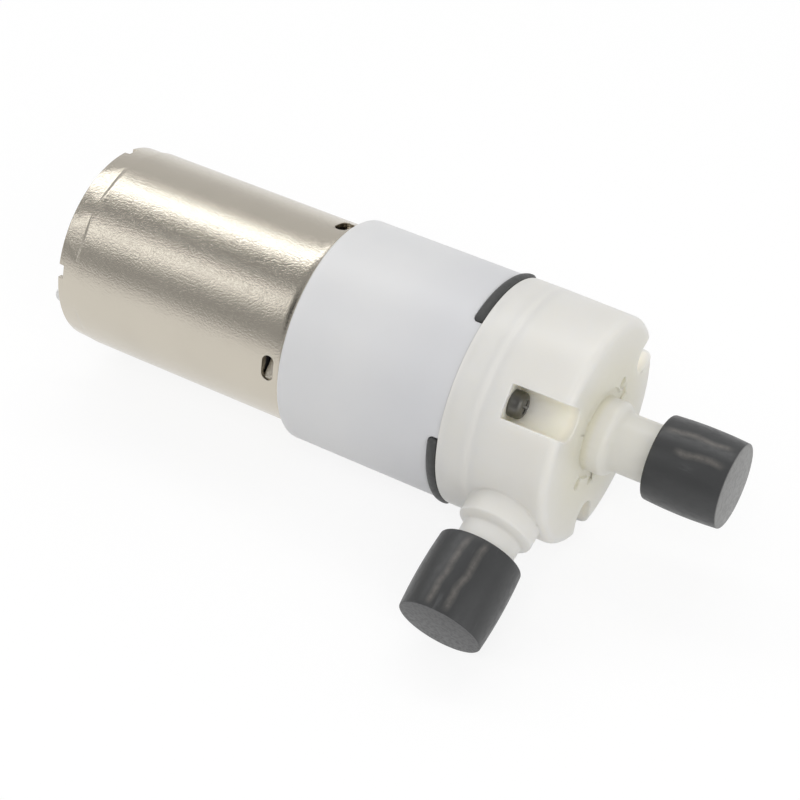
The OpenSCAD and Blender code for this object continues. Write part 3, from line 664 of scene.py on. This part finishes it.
def head_finish():
    """Ivory plastic for the valve plate and the cover, with painted shade on the front face, a yellower
    darker tint, and painted light in the screw slots, a paler warmer tint.
    """
    s = Drawing()
    c = bpy.context.scene.pump_colours.head
    mat, tree, xyz = start_material("head plastic")
    where = effect(
        tree, axis_group, xyz, Wall=s.front_diameter / 2 * MM,
        Collar=s.collar_diameter / 2 * MM, Front=AXIS_START + levels(s)[3] * MM,
    )
    base = patches(tree, xyz, 140.0, c, rgba(c, 0.975, 0.97, 0.95), 0.4)
    # painted shade: the front face tinted yellower and darker
    face = blend(tree, where["Face shade"], base, rgba(c, 0.985, 0.97, 0.86))
    # painted light: the screw slots tinted paler and warmer
    slot = blend(tree, where["Slot light"], face, rgba((0.985, 0.925, 0.815)))
    # less milky at the two seams, where light can't cross from one piece to the other
    milk = 0.8
    for seam in levels(s)[1:3]:
        away = maths(tree, "ABSOLUTE", maths(tree, "SUBTRACT", split(tree, xyz)["X"], AXIS_START + seam * MM))
        milk = product(tree, ramp(tree, away, 0.00015, 0.0008), milk)
    dress(
        tree, Base_Color=slot, Subsurface_Weight=milk, Subsurface_Radius=(1.0, 0.96, 0.86),
        Subsurface_Scale=0.0022,
    )
    surface(tree, xyz, 0.36, 2e-6, 2400.0, scuff=moulding_scuffs(tree, xyz))
    return mat


def cap_finish(name, colour, place, end, end_paling, marks):
    """Cap rubber in the cap's own frame: streaks of painted highlight along it and a paler flat closed end.
    """
    mat, tree, xyz, tone = rubber(name, colour, 0.36, scuffs=0.3, pale=1.8, relief=3e-6, place=place)
    for start, stop, angle, drift in marks:
        streak = effect(
            tree, highlight_streak_group, xyz, Angle=math.radians(angle), Drift=math.radians(drift),
            Width=0.11, Start=start, End=stop,
        )
        # painted highlight: each streak lightens the rubber
        tone = blend(tree, streak["Mask"], tone, rgba(colour, 3.4, 3.1, 2.8))
    # the flat closed end is made paler by end_paling
    face = ramp(tree, split(tree, xyz)["X"], end - 0.00012, end - 0.00003)
    dress(tree, Base_Color=blend(tree, product(tree, face, end_paling), tone, rgba(colour, 6.2, 6.0, 5.7)))
    return mat


# pieces


class PUMP_OT_motor_can(bpy.types.Operator):
    """Turns the nickel can with its crimped band, rim notches, magnet stops and front boss"""

    bl_idname = "pump.motor_can"
    bl_label = "Motor can"

    def execute(self, context):
        s = Drawing()
        r, length, wall, band = s.can_diameter / 2, s.can_length, s.can_wall, s.band_length
        boss, front, stop_z = s.boss_diameter / 2, length - wall, length - s.stop_back
        boss_end, bearing_end = length + 1.4, length + 0.95
        can = lathe(
            (r - wall, 0.0, 0.08), (r - 0.2, 0.0, 0.12), (r - 0.14, 1.0, 1.0), (r, band + 0.2, 1.0),
            (r, stop_z - s.stop_height), (r, length, s.can_round),
            (boss, length, 0.12), (boss, boss_end, 0.15),
            (SHAFT_HOLE, boss_end, 0.08), (SHAFT_HOLE, bearing_end),
            (BEARING_R, bearing_end), (BEARING_R, front, 0.08), (r - wall, front, 0.3),
            steps=224, arc=12,
        )
        press_band(can, r, band, s.jaw_depth)
        shape(can, bar((r - 2 * wall, -0.8, -1.0), (r + 1, 0.8, 0.7)), NOTCHES)
        window = stadium(s.stop_width, s.stop_height, r - 2 * wall, r + 1)
        shape(can, move(window, shift(0, 0, stop_z) @ turned(90, "Y")), STOPS)
        shape(can, pin(MOTOR_SCREW_HOLE, front - 1, length + 1, x=MOTOR_SCREW_CIRCLE, sides=48), LUGS)
        smooth_edges(can, 0.07, weld=0.02)
        can = join([can, copies(stop_tab(s, r, stop_z), STOPS)])
        finish = metal(
            "can nickel", context.scene.pump_colours.can, rough=0.19, grains=4200.0, relief=29e-6,
            tarnish=0.25, blots=90.0,
        )
        put_in_place(can, "motor_can", "pump", finish, crease=9)
        return {"FINISHED"}


def stop_tab(s, r, middle):
    """The sheet metal tab of a magnet stop: it hangs on one end of its window and leans into the can."""
    gap, thick, lean = 0.18, 0.4, 30
    length, high = s.stop_width * 0.75, s.stop_height / 2 - gap
    tab = bar((-thick / 2, -length, -high), (thick / 2, 0.0, high))
    hinge = shift(r - 0.6 * s.can_wall, s.stop_width / 2 + 0.1, middle)
    return smooth_edges(move(tab, hinge @ turned(-lean)), 0.1, segments=3)


def press_band(can, r, band, depth):
    """Presses the band in with jaws that are less curved than the can, so each leaves a spindle."""
    mark, jaw_half = math.radians(16), 11.5
    offset = (r * r - (r - depth) ** 2) / (2 * (r - depth - r * math.cos(mark)))
    face = r - depth + offset
    low, high, slope = band - 0.4, band + 1.6, 0.5 / depth
    jaw = lathe(
        (face, -1.0), (face + 3, -1.0), (face + 3, high), (face + (high - low) / slope, high), (face, low),
        steps=16, angle=2 * jaw_half,
    )
    move(move(jaw, turned(-jaw_half)), shift(-offset, 0, 0))
    for back in JAWS_FROM_NOTCH:
        shape(can, twin(jaw), [n - back for n in NOTCHES])
    bpy.data.objects.remove(jaw)


class PUMP_OT_end_bell(bpy.types.Operator):
    """Turns the nylon end bell with its hub, its keys in the rim notches and its terminal slots"""

    bl_idname = "pump.end_bell"
    bl_label = "End bell"

    def execute(self, context):
        s = Drawing()
        r = s.can_diameter / 2 - s.can_wall - 0.05
        hub_r, hub_back, bearing_back, inner_face, skirt = 3.1, -0.8, -0.3, 3.6, 5.2
        bell = lathe(
            (SHAFT_HOLE, hub_back, 0.1), (hub_r, hub_back, 0.3), (hub_r, 1.0, 0.35),
            (r - 1.5, 1.0, 0.15), (r - 1.3, 0.8, 0.1), (r, 0.8, 0.15), (r, inner_face, 0.1),
            (r - 0.3, inner_face), (r - 0.3, skirt, 0.1), (r - 1.2, skirt, 0.1), (r - 1.2, inner_face, 0.1),
            (BEARING_R, inner_face, 0.1), (BEARING_R, bearing_back), (SHAFT_HOLE, bearing_back),
            steps=128,
        )
        shape(bell, bar((r - 1.2, -0.75, 0.75), (r - 0.02, 0.75, 1.4)), NOTCHES, "UNION")
        shape(bell, bar((LUG_CIRCLE - 1.15, -0.25, 0.0), (LUG_CIRCLE + 1.15, 0.25, 6.0)), LUGS)
        smooth_edges(bell, 0.06, weld=0.02)
        finish = plastic("bell nylon", context.scene.pump_colours.end_bell, rough=0.42, milk=0.12)
        put_in_place(bell, "end_bell", "pump", finish)
        return {"FINISHED"}


class PUMP_OT_terminals(bpy.types.Operator):
    """Stamps the two tin plated solder lugs with round ends and wire holes"""

    bl_idname = "pump.terminals"
    bl_label = "Terminals"

    def execute(self, context):
        width, thick, end, inner = 2.2, 0.4, -2.9, 5.4
        lug = stadium(2 * (inner - end) + width, width, -thick / 2, thick / 2)
        edit(lug)
        bpy.ops.mesh.bisect(plane_no=(0, 1, 0), clear_outer=True, use_fill=True)
        shape(lug, pin(0.6, -1, 1, y=end - inner, sides=48))
        smooth_edges(lug, 0.06, segments=3)
        move(lug, shift(LUG_CIRCLE, 0, inner) @ turned(90, "X"))
        colour = context.scene.pump_colours.terminals
        finish = metal("tin plate", colour, rough=0.38, grains=4000.0, relief=3e-6, tarnish=0.2)
        put_in_place(copies(lug, LUGS), "terminals", "pump", finish)
        return {"FINISHED"}


class PUMP_OT_pump_housing(bpy.types.Operator):
    """Moulds the milky housing with its screw pillars and the lands between the rubber lobes"""

    bl_idname = "pump.pump_housing"
    bl_label = "Pump housing"

    def execute(self, context):
        s = Drawing()
        r, low, circle = s.housing_diameter / 2, s.can_length, s.screw_circle
        sheet, plate, cover, _, _ = levels(s)
        boss_hole, base, wall = 3.125, 1.8, 1.6
        housing = lathe(
            (boss_hole, low, 0.15), (r, low, 0.35), (r, sheet - 0.4), (r, plate, 0.06),
            (r - wall, plate), (r - wall, low + base, 0.3), (boss_hole, low + base, 0.15),
            steps=192, arc=6,
        )
        shape(housing, sector(LAND_R, r - 0.8, sheet - 3, plate, 29.7), SCREWS, "UNION")
        shape(housing, pin(2.1, sheet - 9, plate, x=circle), SCREWS, "UNION")
        # each lobe lies in a pocket with round lower corners
        corner, half_gap = s.sheet / 2, 30.3
        inset = half_gap - math.degrees(corner / r)
        for floor, half in ((sheet, inset), (sheet + corner, half_gap)):
            shape(housing, sector(LAND_R - 2, r + 2, floor, plate + 1, half), CHAMBERS)
        round_corner = lay_inlet(pin(corner, LAND_R - 2, r + 2, sides=48), sheet + corner)
        shape(housing, round_corner, [a + side * inset for a in CHAMBERS for side in (-1, 1)])
        shape(housing, pin(0.9, cover + s.slot_floor - 14, cover, x=circle, sides=40), SCREWS)
        shape(housing, pin(MOTOR_SCREW_HOLE, low - 1, low + 3, x=MOTOR_SCREW_CIRCLE, sides=40), LUGS)
        smooth_edges(housing, 0.09, weld=0.03)
        finish = housing_finish(context.scene.pump_colours.housing)
        put_in_place(housing, "pump_housing", "pump", finish, crease=30)
        return {"FINISHED"}


class PUMP_OT_diaphragm(bpy.types.Operator):
    """Moulds the rubber diaphragm with three rounded lobes that show at the seam"""

    bl_idname = "pump.diaphragm"
    bl_label = "Diaphragm"

    def execute(self, context):
        s = Drawing()
        sheet, plate, _, _, _ = levels(s)
        edge, t = s.housing_diameter / 2 + s.lobe_reach, s.sheet
        skin = lathe(
            (0, sheet), (edge, sheet, t * 0.46), (edge, plate, t * 0.46), (0, plate),
            steps=192, arc=8,
        )
        half_gap = 30.0 + math.degrees(t / 2 / edge)
        shape(skin, sector(LAND_R - 0.05, edge + 2, sheet - 1, plate + 1, half_gap), SCREWS)
        # each lobe ends in a half round
        round_end, inner, tip = t / 2 - 0.01, 9.5, edge - 0.01
        end = lathe((0, inner), (round_end, inner), (round_end, tip, t * 0.45), (0, tip), steps=40, arc=8)
        lay_inlet(end, (sheet + plate) / 2)
        shape(skin, end, [a + side * half_gap for a in SCREWS for side in (-1, 1)], "UNION")
        collar = pin(CHAMBER_R + 0.3, sheet - 0.9, sheet + 0.1, x=CHAMBER_CIRCLE, sides=96)
        shape(skin, collar, CHAMBERS, "UNION")
        shape(skin, pin(CHAMBER_R, sheet - 2, plate + 1, x=CHAMBER_CIRCLE, sides=96), CHAMBERS)
        colour = context.scene.pump_colours.diaphragm
        finish = rubber("diaphragm rubber", colour, 0.5, scuffs=0.2, pale=1.7, relief=6e-6)[0]
        put_in_place(skin, "diaphragm", "pump", finish)
        return {"FINISHED"}


class PUMP_OT_valve_plate(bpy.types.Operator):
    """Moulds the ivory valve plate with its chamber roofs, ports and screw holes"""

    bl_idname = "pump.valve_plate"
    bl_label = "Valve plate"

    def execute(self, context):
        s = Drawing()
        _, plate, cover, _, _ = levels(s)
        r, roof, through, port_circle = s.head_diameter / 2, plate + 1.4, cover + 1, 3.5
        disc = lathe((0, plate), (r, plate, 0.12), (r, cover, 0.015), (0, cover), steps=192, arc=5)
        shape(disc, pin(CHAMBER_R, plate - 1, roof, x=CHAMBER_CIRCLE, sides=96), CHAMBERS)
        # in each chamber a hole for the inlet valve's stem, an outlet port and four inlet ports
        for x in (CHAMBER_CIRCLE, port_circle):
            shape(disc, pin(0.6, plate, through, x=x, sides=24), CHAMBERS)
        for k in range(4):
            a = math.radians(45 + 90 * k)
            x, y = CHAMBER_CIRCLE + 1.4 * math.cos(a), 1.4 * math.sin(a)
            shape(disc, pin(0.45, plate, through, x=x, y=y, sides=20), CHAMBERS)
        shape(disc, pin(0.7, roof, through, sides=24))
        shape(disc, pin(1.0, plate - 1, through, x=s.screw_circle, sides=40), SCREWS)
        put_in_place(disc, "valve_plate", "pump", once(head_finish), crease=32)
        return {"FINISHED"}


class PUMP_OT_pump_cover(bpy.types.Operator):
    """Moulds the ivory cover with its screw slots, both nozzles and their rooms"""

    bl_idname = "pump.pump_cover"
    bl_label = "Pump cover"

    def execute(self, context):
        s = Drawing()
        _, _, low, top, inlet = levels(s)
        r, front, w = s.head_diameter / 2, s.front_diameter / 2, s.slot_width
        collar, seat, tip = s.collar_diameter / 2, s.nozzle_diameter / 2, s.tip_diameter / 2
        tall, foot = s.collar_height, s.collar_height + s.collar_chamfer
        floor, circle, bore, moat = low + s.slot_floor, s.screw_circle, 1.7, top - 0.35
        mouth = (OUTLET_MOUTH - AXIS_START) / MM
        end = mouth + s.outlet_cap - CAP_ROOM
        ring = floor - 0.4
        ring_r = r + (front - r) * (ring - low) / (top - low)
        head = lathe(
            (0, low - 0.4), (r, low - 0.4), (r, low), (ring_r, ring), (front, top, 1.1),
            (front - 1.3, top), (collar + 3.0, top), (collar + 1.0, top, 0.16),
            (collar + 1.0, moat, 0.16), (collar, moat, 0.16),
            (collar, top + tall, 1.0), (seat, top + foot, 1.0),
            (seat, mouth), (tip, end, 0.25), (0, end),
            steps=192, arc=6,
        )
        # the screw slots, with a round inner end at the screw
        slot_length = 16.0
        slot = move(stadium(slot_length, w, floor, top + 3, sides=64), turned(90))
        shape(head, move(slot, shift(circle + (slot_length - w) / 2, 0, 0)), SCREWS)
        shape(head, pin(1.0, low - 1, floor + 1, x=circle, sides=40), SCREWS)
        # the inlet nozzle, turned by itself and laid into the side
        mouth = front + foot + s.inlet_seat
        end = mouth + s.inlet_cap - CAP_ROOM
        nozzle = lathe(
            (0, front - 4), (collar, front - 4), (collar, front + tall, 0.35),
            (seat, front + foot, 0.35), (seat, mouth), (tip, end, 0.25), (0, end),
            steps=128, arc=5,
        )
        shape(head, lay_inlet(nozzle, inlet), how="UNION")
        # the outlet room, the inlet gallery round it and the two bores
        shape(head, pin(4.5, low - 1, low + 5.2, sides=96))
        shape(head, lathe((5.5, low - 1), (8.45, low - 1), (8.45, low + 6.2), (5.5, low + 6.2), steps=96))
        shape(head, pin(bore, low, top + 20, sides=64))
        shape(head, lay_inlet(pin(bore, 6.5, front + 20, sides=64), inlet))
        # two core holes and the short cuts in the front face
        shape(head, pin(0.7, top - 0.8, top + 1, x=6.2, sides=40), (15.3, 195.3))
        shape(head, bar((collar + 0.5, -0.8, moat), (collar + 2.1, 0.8, top + 1)), SCREWS)
        smooth_edges(head, s.edge_round, segments=1, weld=0.05, limit=42)
        # a square foot on the valve plate, so the seam stays faint
        edit(head)
        bpy.ops.mesh.bisect(plane_co=(0, 0, low), plane_no=(0, 0, 1), clear_inner=True, use_fill=True)
        bpy.ops.mesh.select_all(action="SELECT")
        bpy.ops.mesh.vert_connect_concave()
        put_in_place(head, "pump_cover", "pump", once(head_finish), crease=34)
        return {"FINISHED"}


class PUMP_OT_cover_screws(bpy.types.Operator):
    """Turns the three black cover screws with rounded heads and cross recesses"""

    bl_idname = "pump.cover_screws"
    bl_label = "Cover screws"

    def execute(self, context):
        s = Drawing()
        seat, head_r = levels(s)[2] + s.slot_floor, s.screw_head / 2
        top, end, shank, root, pitch = seat + s.screw_head_height, seat - 13.0, 0.9, 0.7, 0.6
        corners = [(0, end), (0.25, end), (root, end + 0.8)]
        z = end + 0.8
        while z < seat - 1.2:
            corners += [(shank, z + pitch / 2), (root, z + pitch)]
            z += pitch
        corners += [
            (shank, seat - 0.5), (shank, seat, 0.05), (head_r, seat, 0.12), (head_r, top - 0.15, 0.6),
            (head_r * 0.45, top - 0.02, 0.3), (0, top),
        ]
        screw = lathe(*corners, steps=64, arc=6)
        recess = pin(head_r * 0.35, top - 0.75, top + 0.2, top=head_r * 0.62, sides=32)
        cross = bar((-head_r, -0.2, top - 0.7), (head_r, 0.2, top + 1))
        shape(cross, bar((-0.2, -head_r, top - 0.7), (0.2, head_r, top + 1)), how="UNION")
        shape(cross, recess, how="INTERSECT")
        shape(screw, cross)
        smooth_edges(screw, 0.05, weld=0.01, limit=45)
        screws = copies(move(screw, shift(s.screw_circle, 0, 0)), SCREWS)
        colour = context.scene.pump_colours.screws
        finish = metal("black oxide", colour, rough=0.4, grains=5000.0, relief=10e-6, tarnish=0.4)
        put_in_place(screws, "cover_screws", "pump", finish)
        return {"FINISHED"}


def cap_shell(s, mouth, length):
    """One rubber cap, its mouth at the given height: a barrel with a crisp closed end and a blind hole."""
    big, rim = s.cap_diameter / 2, s.cap_end / 2
    seat, tip = s.nozzle_diameter / 2, s.tip_diameter / 2
    end, parts = mouth + length, 14
    belly = []
    for k in range(1, parts):
        belly.append((rim + (big - rim) * (1 - (2 * k / parts - 1) ** 2), mouth + length * k / parts))
    return lathe(
        (0, end - 1.4), (tip - 0.3, end - 1.4, 0.1), (tip - 0.3, end - CAP_ROOM),
        (tip + 0.04, end - CAP_ROOM), (seat + 0.05, mouth + 0.4), (seat + 0.4, mouth, 0.1),
        (rim, mouth, 0.28), *belly, (rim, end, 0.13), (0, end), arc=5,
    )


class PUMP_OT_caps(bpy.types.Operator):
    """Moulds the two charcoal caps on the nozzles"""

    bl_idname = "pump.caps"
    bl_label = "Nozzle caps"

    def execute(self, context):
        s = Drawing()
        colour = context.scene.pump_colours.caps
        # a mark is a painted highlight streak's start, its end, its angle round the cap and how far it drifts
        cap = cap_shell(s, (OUTLET_MOUTH - AXIS_START) / MM, s.outlet_cap)
        stop = OUTLET_END - 0.0004
        marks = [(OUTLET_MOUTH, stop, 95, -700), (OUTLET_MOUTH + 0.0022, stop, 119, -700)]
        finish = cap_finish("outlet cap rubber", colour, Matrix(), OUTLET_END, 0.66, marks)
        put_in_place(cap, "outlet_cap", "outlet_plug", finish, crease=40)
        inlet = levels(s)[4]
        mouth = s.front_diameter / 2 + s.collar_height + s.collar_chamfer + s.inlet_seat
        cap = lay_inlet(cap_shell(s, mouth, s.inlet_cap), inlet)
        begin, end = mouth * MM, (mouth + s.inlet_cap) * MM
        to_nozzle = INLET_WAY.rotation_difference(Vector((1, 0, 0))).to_matrix().to_4x4()
        place = to_nozzle @ shift(-AXIS_START - inlet * MM, 0, 0)
        marks = [(begin, end, 113, 500), (begin, end, 88, 900)]
        finish = cap_finish("inlet cap rubber", colour, place, end, 0.0, marks)
        put_in_place(cap, "inlet_cap", "inlet_plug", finish, crease=40)
        return {"FINISHED"}


def paint_nodes(material, *nodes):
    for node in nodes:
        paint(frame["nodes"][node], material)


class PUMP_OT_inner_pieces(bpy.types.Operator):
    """Gives every piece that stays as imported its finish"""

    bl_idname = "pump.inner_pieces"
    bl_label = "Inner pieces"

    def execute(self, context):
        paint_nodes(metal("spring bronze", (0.72, 0.45, 0.25), rough=0.28, stretch=4.0), "brush_arms")
        carbon, ferrite, bronze = (0.045, 0.045, 0.047), (0.065, 0.065, 0.068), (0.55, 0.38, 0.20)
        paint_nodes(plastic("pressed carbon", carbon, rough=0.6, grains=9000.0, relief=10e-6), "brushes")
        paint_nodes(plastic("sintered ferrite", ferrite, rough=0.55, grains=5000.0, relief=10e-6), "magnets")
        sintered = metal("sintered bronze", bronze, rough=0.42, grains=9000.0, relief=10e-6, tarnish=0.6)
        paint_nodes(sintered, "front_bearing", "rear_bearing")
        steel = metal("bright steel", (0.62, 0.62, 0.63), rough=0.22)
        paint_nodes(steel, "motor_screws", "motor_shaft", "crank_pin")
        paint_nodes(
            metal("lamination steel", (0.30, 0.30, 0.31), rough=0.45, grains=3000.0, stretch=0.08,
                  relief=30e-6, tarnish=0.5),
            "rotor_core",
        )
        paint_nodes(
            metal("enamelled copper", (0.62, 0.27, 0.12), rough=0.3, grains=4000.0, stretch=12.0,
                  relief=60e-6, tarnish=0.4),
            "windings",
        )
        paint_nodes(
            metal("commutator copper", (0.75, 0.42, 0.24), rough=0.3, grains=5000.0, stretch=0.1,
                  relief=10e-6, tarnish=0.5),
            "commutator",
        )
        paint_nodes(plastic("spacer nylon", (0.80, 0.785, 0.73), rough=0.42), "shaft_spacers")
        nylon = plastic("drive nylon", (0.80, 0.79, 0.75), rough=0.4, milk=0.15)
        paint_nodes(nylon, "eccentric", "wobble_plate")
        black = (0.05, 0.05, 0.05)
        paint_nodes(plastic("plunger rubber", black, rough=0.5, grains=2600.0, relief=6e-6), "plungers")
        silicone = plastic("valve silicone", (0.62, 0.52, 0.42), rough=0.45, milk=0.3)
        paint_nodes(silicone, "inlet_valves", "outlet_valve")
        return {"FINISHED"}


# the studio


class PUMP_OT_stage(bpy.types.Operator):
    """Lays the pale floor, hangs the soft lights and sets the camera at the photographed angle"""

    bl_idname = "pump.stage"
    bl_label = "Studio"

    def execute(self, context):
        scene = context.scene
        only(None)
        bpy.ops.mesh.primitive_plane_add(size=8, location=(0, 0, CAD_BOX[0][2]))
        floor = bpy.context.object
        floor.name = "floor"
        floor.data.materials.append(floor_finish(scene.pump_colours.floor))
        soft_light("top light", (-0.24, 0.2205, 0.5655), (1.0, 0.138), 1.52, tilt=15)
        soft_light("front light", (-0.36, -0.386, 0.461), (0.42, 0.2), 0.34, tilt=24)
        fill = soft_light("front fill", (0.2, -0.367, 0.476), (0.5, 0.3), 1.02)
        fill.visible_glossy = False
        soft_light("head light", (0.52, -0.19, 0.24), (0.5, 0.5), 0.86)
        studio_world()
        # the camera that was fitted to the photograph
        focal_pixels, picture_pixels, sensor = 2107.0, 800.0, 36.0
        lens = bpy.data.cameras.new("camera")
        lens.sensor_width = sensor
        lens.lens = focal_pixels / picture_pixels * sensor
        lens.clip_start = 0.01
        lens.clip_end = 50.0
        cam = bpy.data.objects.new("camera", lens)
        bpy.context.collection.objects.link(cam)
        right = Vector((0.861, 0.509, 0.0)).normalized()
        cam.matrix_world = facing(
            (AXIS_START + 0.13075, -0.1540, 0.1625), right.cross(Vector((-0.350, 0.593, 0.7254))), right
        )
        scene.camera = cam
        scene.view_settings.view_transform = "Standard"
        return {"FINISHED"}


def facing(place, back, right):
    """Where a lamp or camera stands: its back points away from what it looks at."""
    back = Vector(back).normalized()
    right = Vector(right)
    right = (right - back * right.dot(back)).normalized()
    return shift(*place) @ Matrix((right, back.cross(right), back)).transposed().to_4x4()


def soft_light(name, place, sides, power, tilt=0.0):
    """A soft box aimed at the middle of the pump, long along it but for its tilt."""
    data = bpy.data.lights.new(name, "AREA")
    data.shape = "RECTANGLE"
    data.size, data.size_y = sides
    data.energy = power
    obj = bpy.data.objects.new(name, data)
    bpy.context.collection.objects.link(obj)
    pump_middle = Vector((0.02, 0, 0))
    obj.matrix_world = facing(place, Vector(place) - pump_middle, (1, 0, 0)) @ turned(tilt)
    return obj


def floor_finish(colour):
    """Pale floor that shows as white to the camera and in reflections, and keeps the pump's shadow."""
    mat = bpy.data.materials.new("floor")
    mat.use_nodes = True
    tree = mat.node_tree
    tree.nodes.remove(tree.nodes["Principled BSDF"])
    matte = add(tree, "BsdfDiffuse", in_Color=rgba(colour))
    glow = add(tree, "Emission", in_Color=(1, 1, 1, 1), in_Strength=1.06)
    ray = add(tree, "LightPath").outputs
    mirrored = maths(tree, "MAXIMUM", ray["Is Glossy Ray"], ray["Is Transmission Ray"])
    seen = maths(tree, "MAXIMUM", ray["Is Camera Ray"], mirrored)
    thin = add(tree, "MixShader", in_Fac=product(tree, seen, 0.8))
    feed(thin.inputs[1], matte.outputs[0])
    feed(thin.inputs[2], glow.outputs[0])
    feed(tree.nodes["Material Output"].inputs["Surface"], thin.outputs[0])
    return mat


def studio_world():
    """White where the camera looks, and a soft dome for the light: pale at the horizon and greyer above."""
    world = bpy.data.worlds.new("studio")
    bpy.context.scene.world = world
    world.use_nodes = True
    tree = world.node_tree
    way = add(tree, "TexCoord").outputs["Generated"]
    dome = add(tree, "ValToRGB", in_Fac=split(tree, way)["Z"])
    stops = ((0, 0.68), (0.045, 0.54), (0.14, 0.42), (0.6, 0.42), (0.85, 0.38), (1.0, 0.4))
    steps = dome.color_ramp.elements
    for place, _ in stops[1:-1]:
        steps.new(place)
    for step, (_, grey) in zip(steps, stops):
        step.color = (grey, grey, grey, 1.0)
    rear_wall = product(tree, ramp(tree, split(tree, way)["Y"], 0.1, 0.75), 0.28)
    lit = maths(tree, "ADD", dome.outputs["Color"], rear_wall, kind="VectorMath")
    # the dark room behind the camera
    towards = add(tree, "VectorMath", operation="DOT_PRODUCT")
    feed(towards.inputs[0], way)
    feed(towards.inputs[1], (0.41, -0.63, 0.66))
    dim = ramp(tree, towards.outputs["Value"], 0.9, 0.97, 1.0, 0.25)
    room = maths(tree, "SCALE", lit, kind="VectorMath", in_Scale=dim)
    seen = add(tree, "LightPath").outputs["Is Camera Ray"]
    back = tree.nodes["Background"]
    feed(back.inputs["Color"], blend(tree, seen, room, (1, 1, 1, 1)))
    feed(back.inputs["Strength"], 1.0)


class VIEW3D_PT_pump(bpy.types.Panel):
    """Lists the pump's pieces, sizes and colours"""

    bl_label = "Mini water pump"
    bl_idname = "VIEW3D_PT_pump"
    bl_space_type = "VIEW_3D"
    bl_region_type = "UI"
    bl_category = "Pump"

    def draw(self, context):
        column = self.layout.column(align=True)
        for op in PIECES:
            column.operator(op.bl_idname)
        for group in (context.scene.pump_sizes, context.scene.pump_colours):
            box = self.layout.box()
            for key in type(group).__annotations__:
                box.prop(group, key, text=key.replace("_", " ").capitalize())


PIECES = (
    PUMP_OT_motor_can,
    PUMP_OT_end_bell,
    PUMP_OT_terminals,
    PUMP_OT_pump_housing,
    PUMP_OT_diaphragm,
    PUMP_OT_valve_plate,
    PUMP_OT_pump_cover,
    PUMP_OT_cover_screws,
    PUMP_OT_caps,
    PUMP_OT_inner_pieces,
    PUMP_OT_stage,
)
CLASSES = (PumpSizes, PumpColours) + PIECES + (VIEW3D_PT_pump,)


def register():
    for cls in CLASSES:
        bpy.utils.register_class(cls)
    bpy.types.Scene.pump_sizes = bpy.props.PointerProperty(type=PumpSizes)
    bpy.types.Scene.pump_colours = bpy.props.PointerProperty(type=PumpColours)


def unregister():
    del bpy.types.Scene.pump_sizes
    del bpy.types.Scene.pump_colours
    for cls in reversed(CLASSES):
        bpy.utils.unregister_class(cls)


def main():
    register()
    bpy.ops.pump.motor_can()
    bpy.ops.pump.end_bell()
    bpy.ops.pump.terminals()
    bpy.ops.pump.pump_housing()
    bpy.ops.pump.diaphragm()
    bpy.ops.pump.valve_plate()
    bpy.ops.pump.pump_cover()
    bpy.ops.pump.cover_screws()
    bpy.ops.pump.caps()
    bpy.ops.pump.inner_pieces()
    bpy.ops.pump.stage()
    only(None)


if __name__ == "__main__":
    main()
